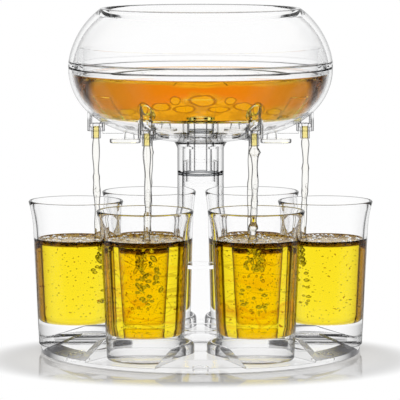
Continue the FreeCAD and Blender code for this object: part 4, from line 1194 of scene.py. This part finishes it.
for k, level in LEVELS.items():
    centre, foot_z = middle_of(f"glass_{k}")
    fall, tip_z = middle_of(f"nozzle_{k}")
    draws = random.Random(40 + k)
    floor_z = foot_z / MM + BASE
    side = wall_radius(level - foot_z / MM) - 1.2

    bubbles = begin(f"bubbles_{k}", (fall[0], fall[1], (level - 20) * MM))
    for i in range(FINE_BUBBLES):
        angle = draws.uniform(0, math.tau)
        reach = side * math.sqrt(draws.uniform(0, 0.85))
        z = draws.uniform(floor_z + 3, level - 3)
        x = centre[0] + reach * MM * math.cos(angle)
        y = centre[1] + reach * MM * math.sin(angle)
        add_ball((x, y, z * MM), draws.uniform(*FINE_SIZES), detail=1)
    for i in range(RISING_BUBBLES):
        depth = draws.uniform(*RISING_DEPTHS)
        spread = 2.0 + depth * 0.12
        x = fall[0] + draws.uniform(-spread, spread) * MM
        y = fall[1] + draws.uniform(-spread, spread) * MM
        radius = draws.uniform(*RISING_SIZES)
        add_ball((x, y, (level - depth) * MM), radius, stretch=(1, 1, draws.uniform(0.7, 1.0)))
    finish_bubbles(bubbles, f"glass_{k}")

    froth = begin(f"froth_{k}", (centre[0] + (side - 0.5) * MM, centre[1], (level - 1.0) * MM))
    for i in range(FROTH_BUBBLES):
        angle = draws.uniform(0, math.tau)
        size = draws.uniform(*FROTH_SIZES)
        reach = side - size if i % 3 else side * draws.uniform(0.3, 0.85)
        x = centre[0] + reach * MM * math.cos(angle)
        y = centre[1] + reach * MM * math.sin(angle)
        add_ball((x, y, (level - 0.9 + draws.uniform(-0.5, 0.4) * size) * MM), size)
    finish_bubbles(froth, f"glass_{k}")

    pocket = begin(f"air_pocket_{k}", (fall[0], fall[1], (level - 4) * MM))
    for i in range(POCKET_BALLS):
        depth = 1.5 + POCKET_DEPTH[k] * i / POCKET_BALLS
        swing = 1.0 + depth * 0.14
        x = fall[0] + swing * math.sin(i * 2.4) * MM
        y = fall[1] + swing * math.cos(i * 1.7) * MM
        add_ball(
            (x, y, (level - depth) * MM),
            draws.uniform(*POCKET_SIZES),
            stretch=(draws.uniform(0.6, 1.0), draws.uniform(0.6, 1.0), draws.uniform(1.0, 2.2)),
            turn=(draws.uniform(-POCKET_TILT, POCKET_TILT), draws.uniform(-POCKET_TILT, POCKET_TILT), 0),
        )
    bpy.ops.object.mode_set(mode="OBJECT")
    knit = pocket.modifiers.new("knit", "REMESH")
    knit.mode = "VOXEL"
    knit.voxel_size = 0.35 * MM
    bpy.ops.object.modifier_apply(modifier=knit.name)
    relax = pocket.modifiers.new("relax", "SMOOTH")
    relax.factor = 0.5
    relax.iterations = 3
    bpy.ops.object.modifier_apply(modifier=relax.name)
    bpy.ops.object.mode_set(mode="EDIT")
    finish_bubbles(pocket, f"glass_{k}")
print("air pockets have", len(pocket.data.polygons), "faces each")
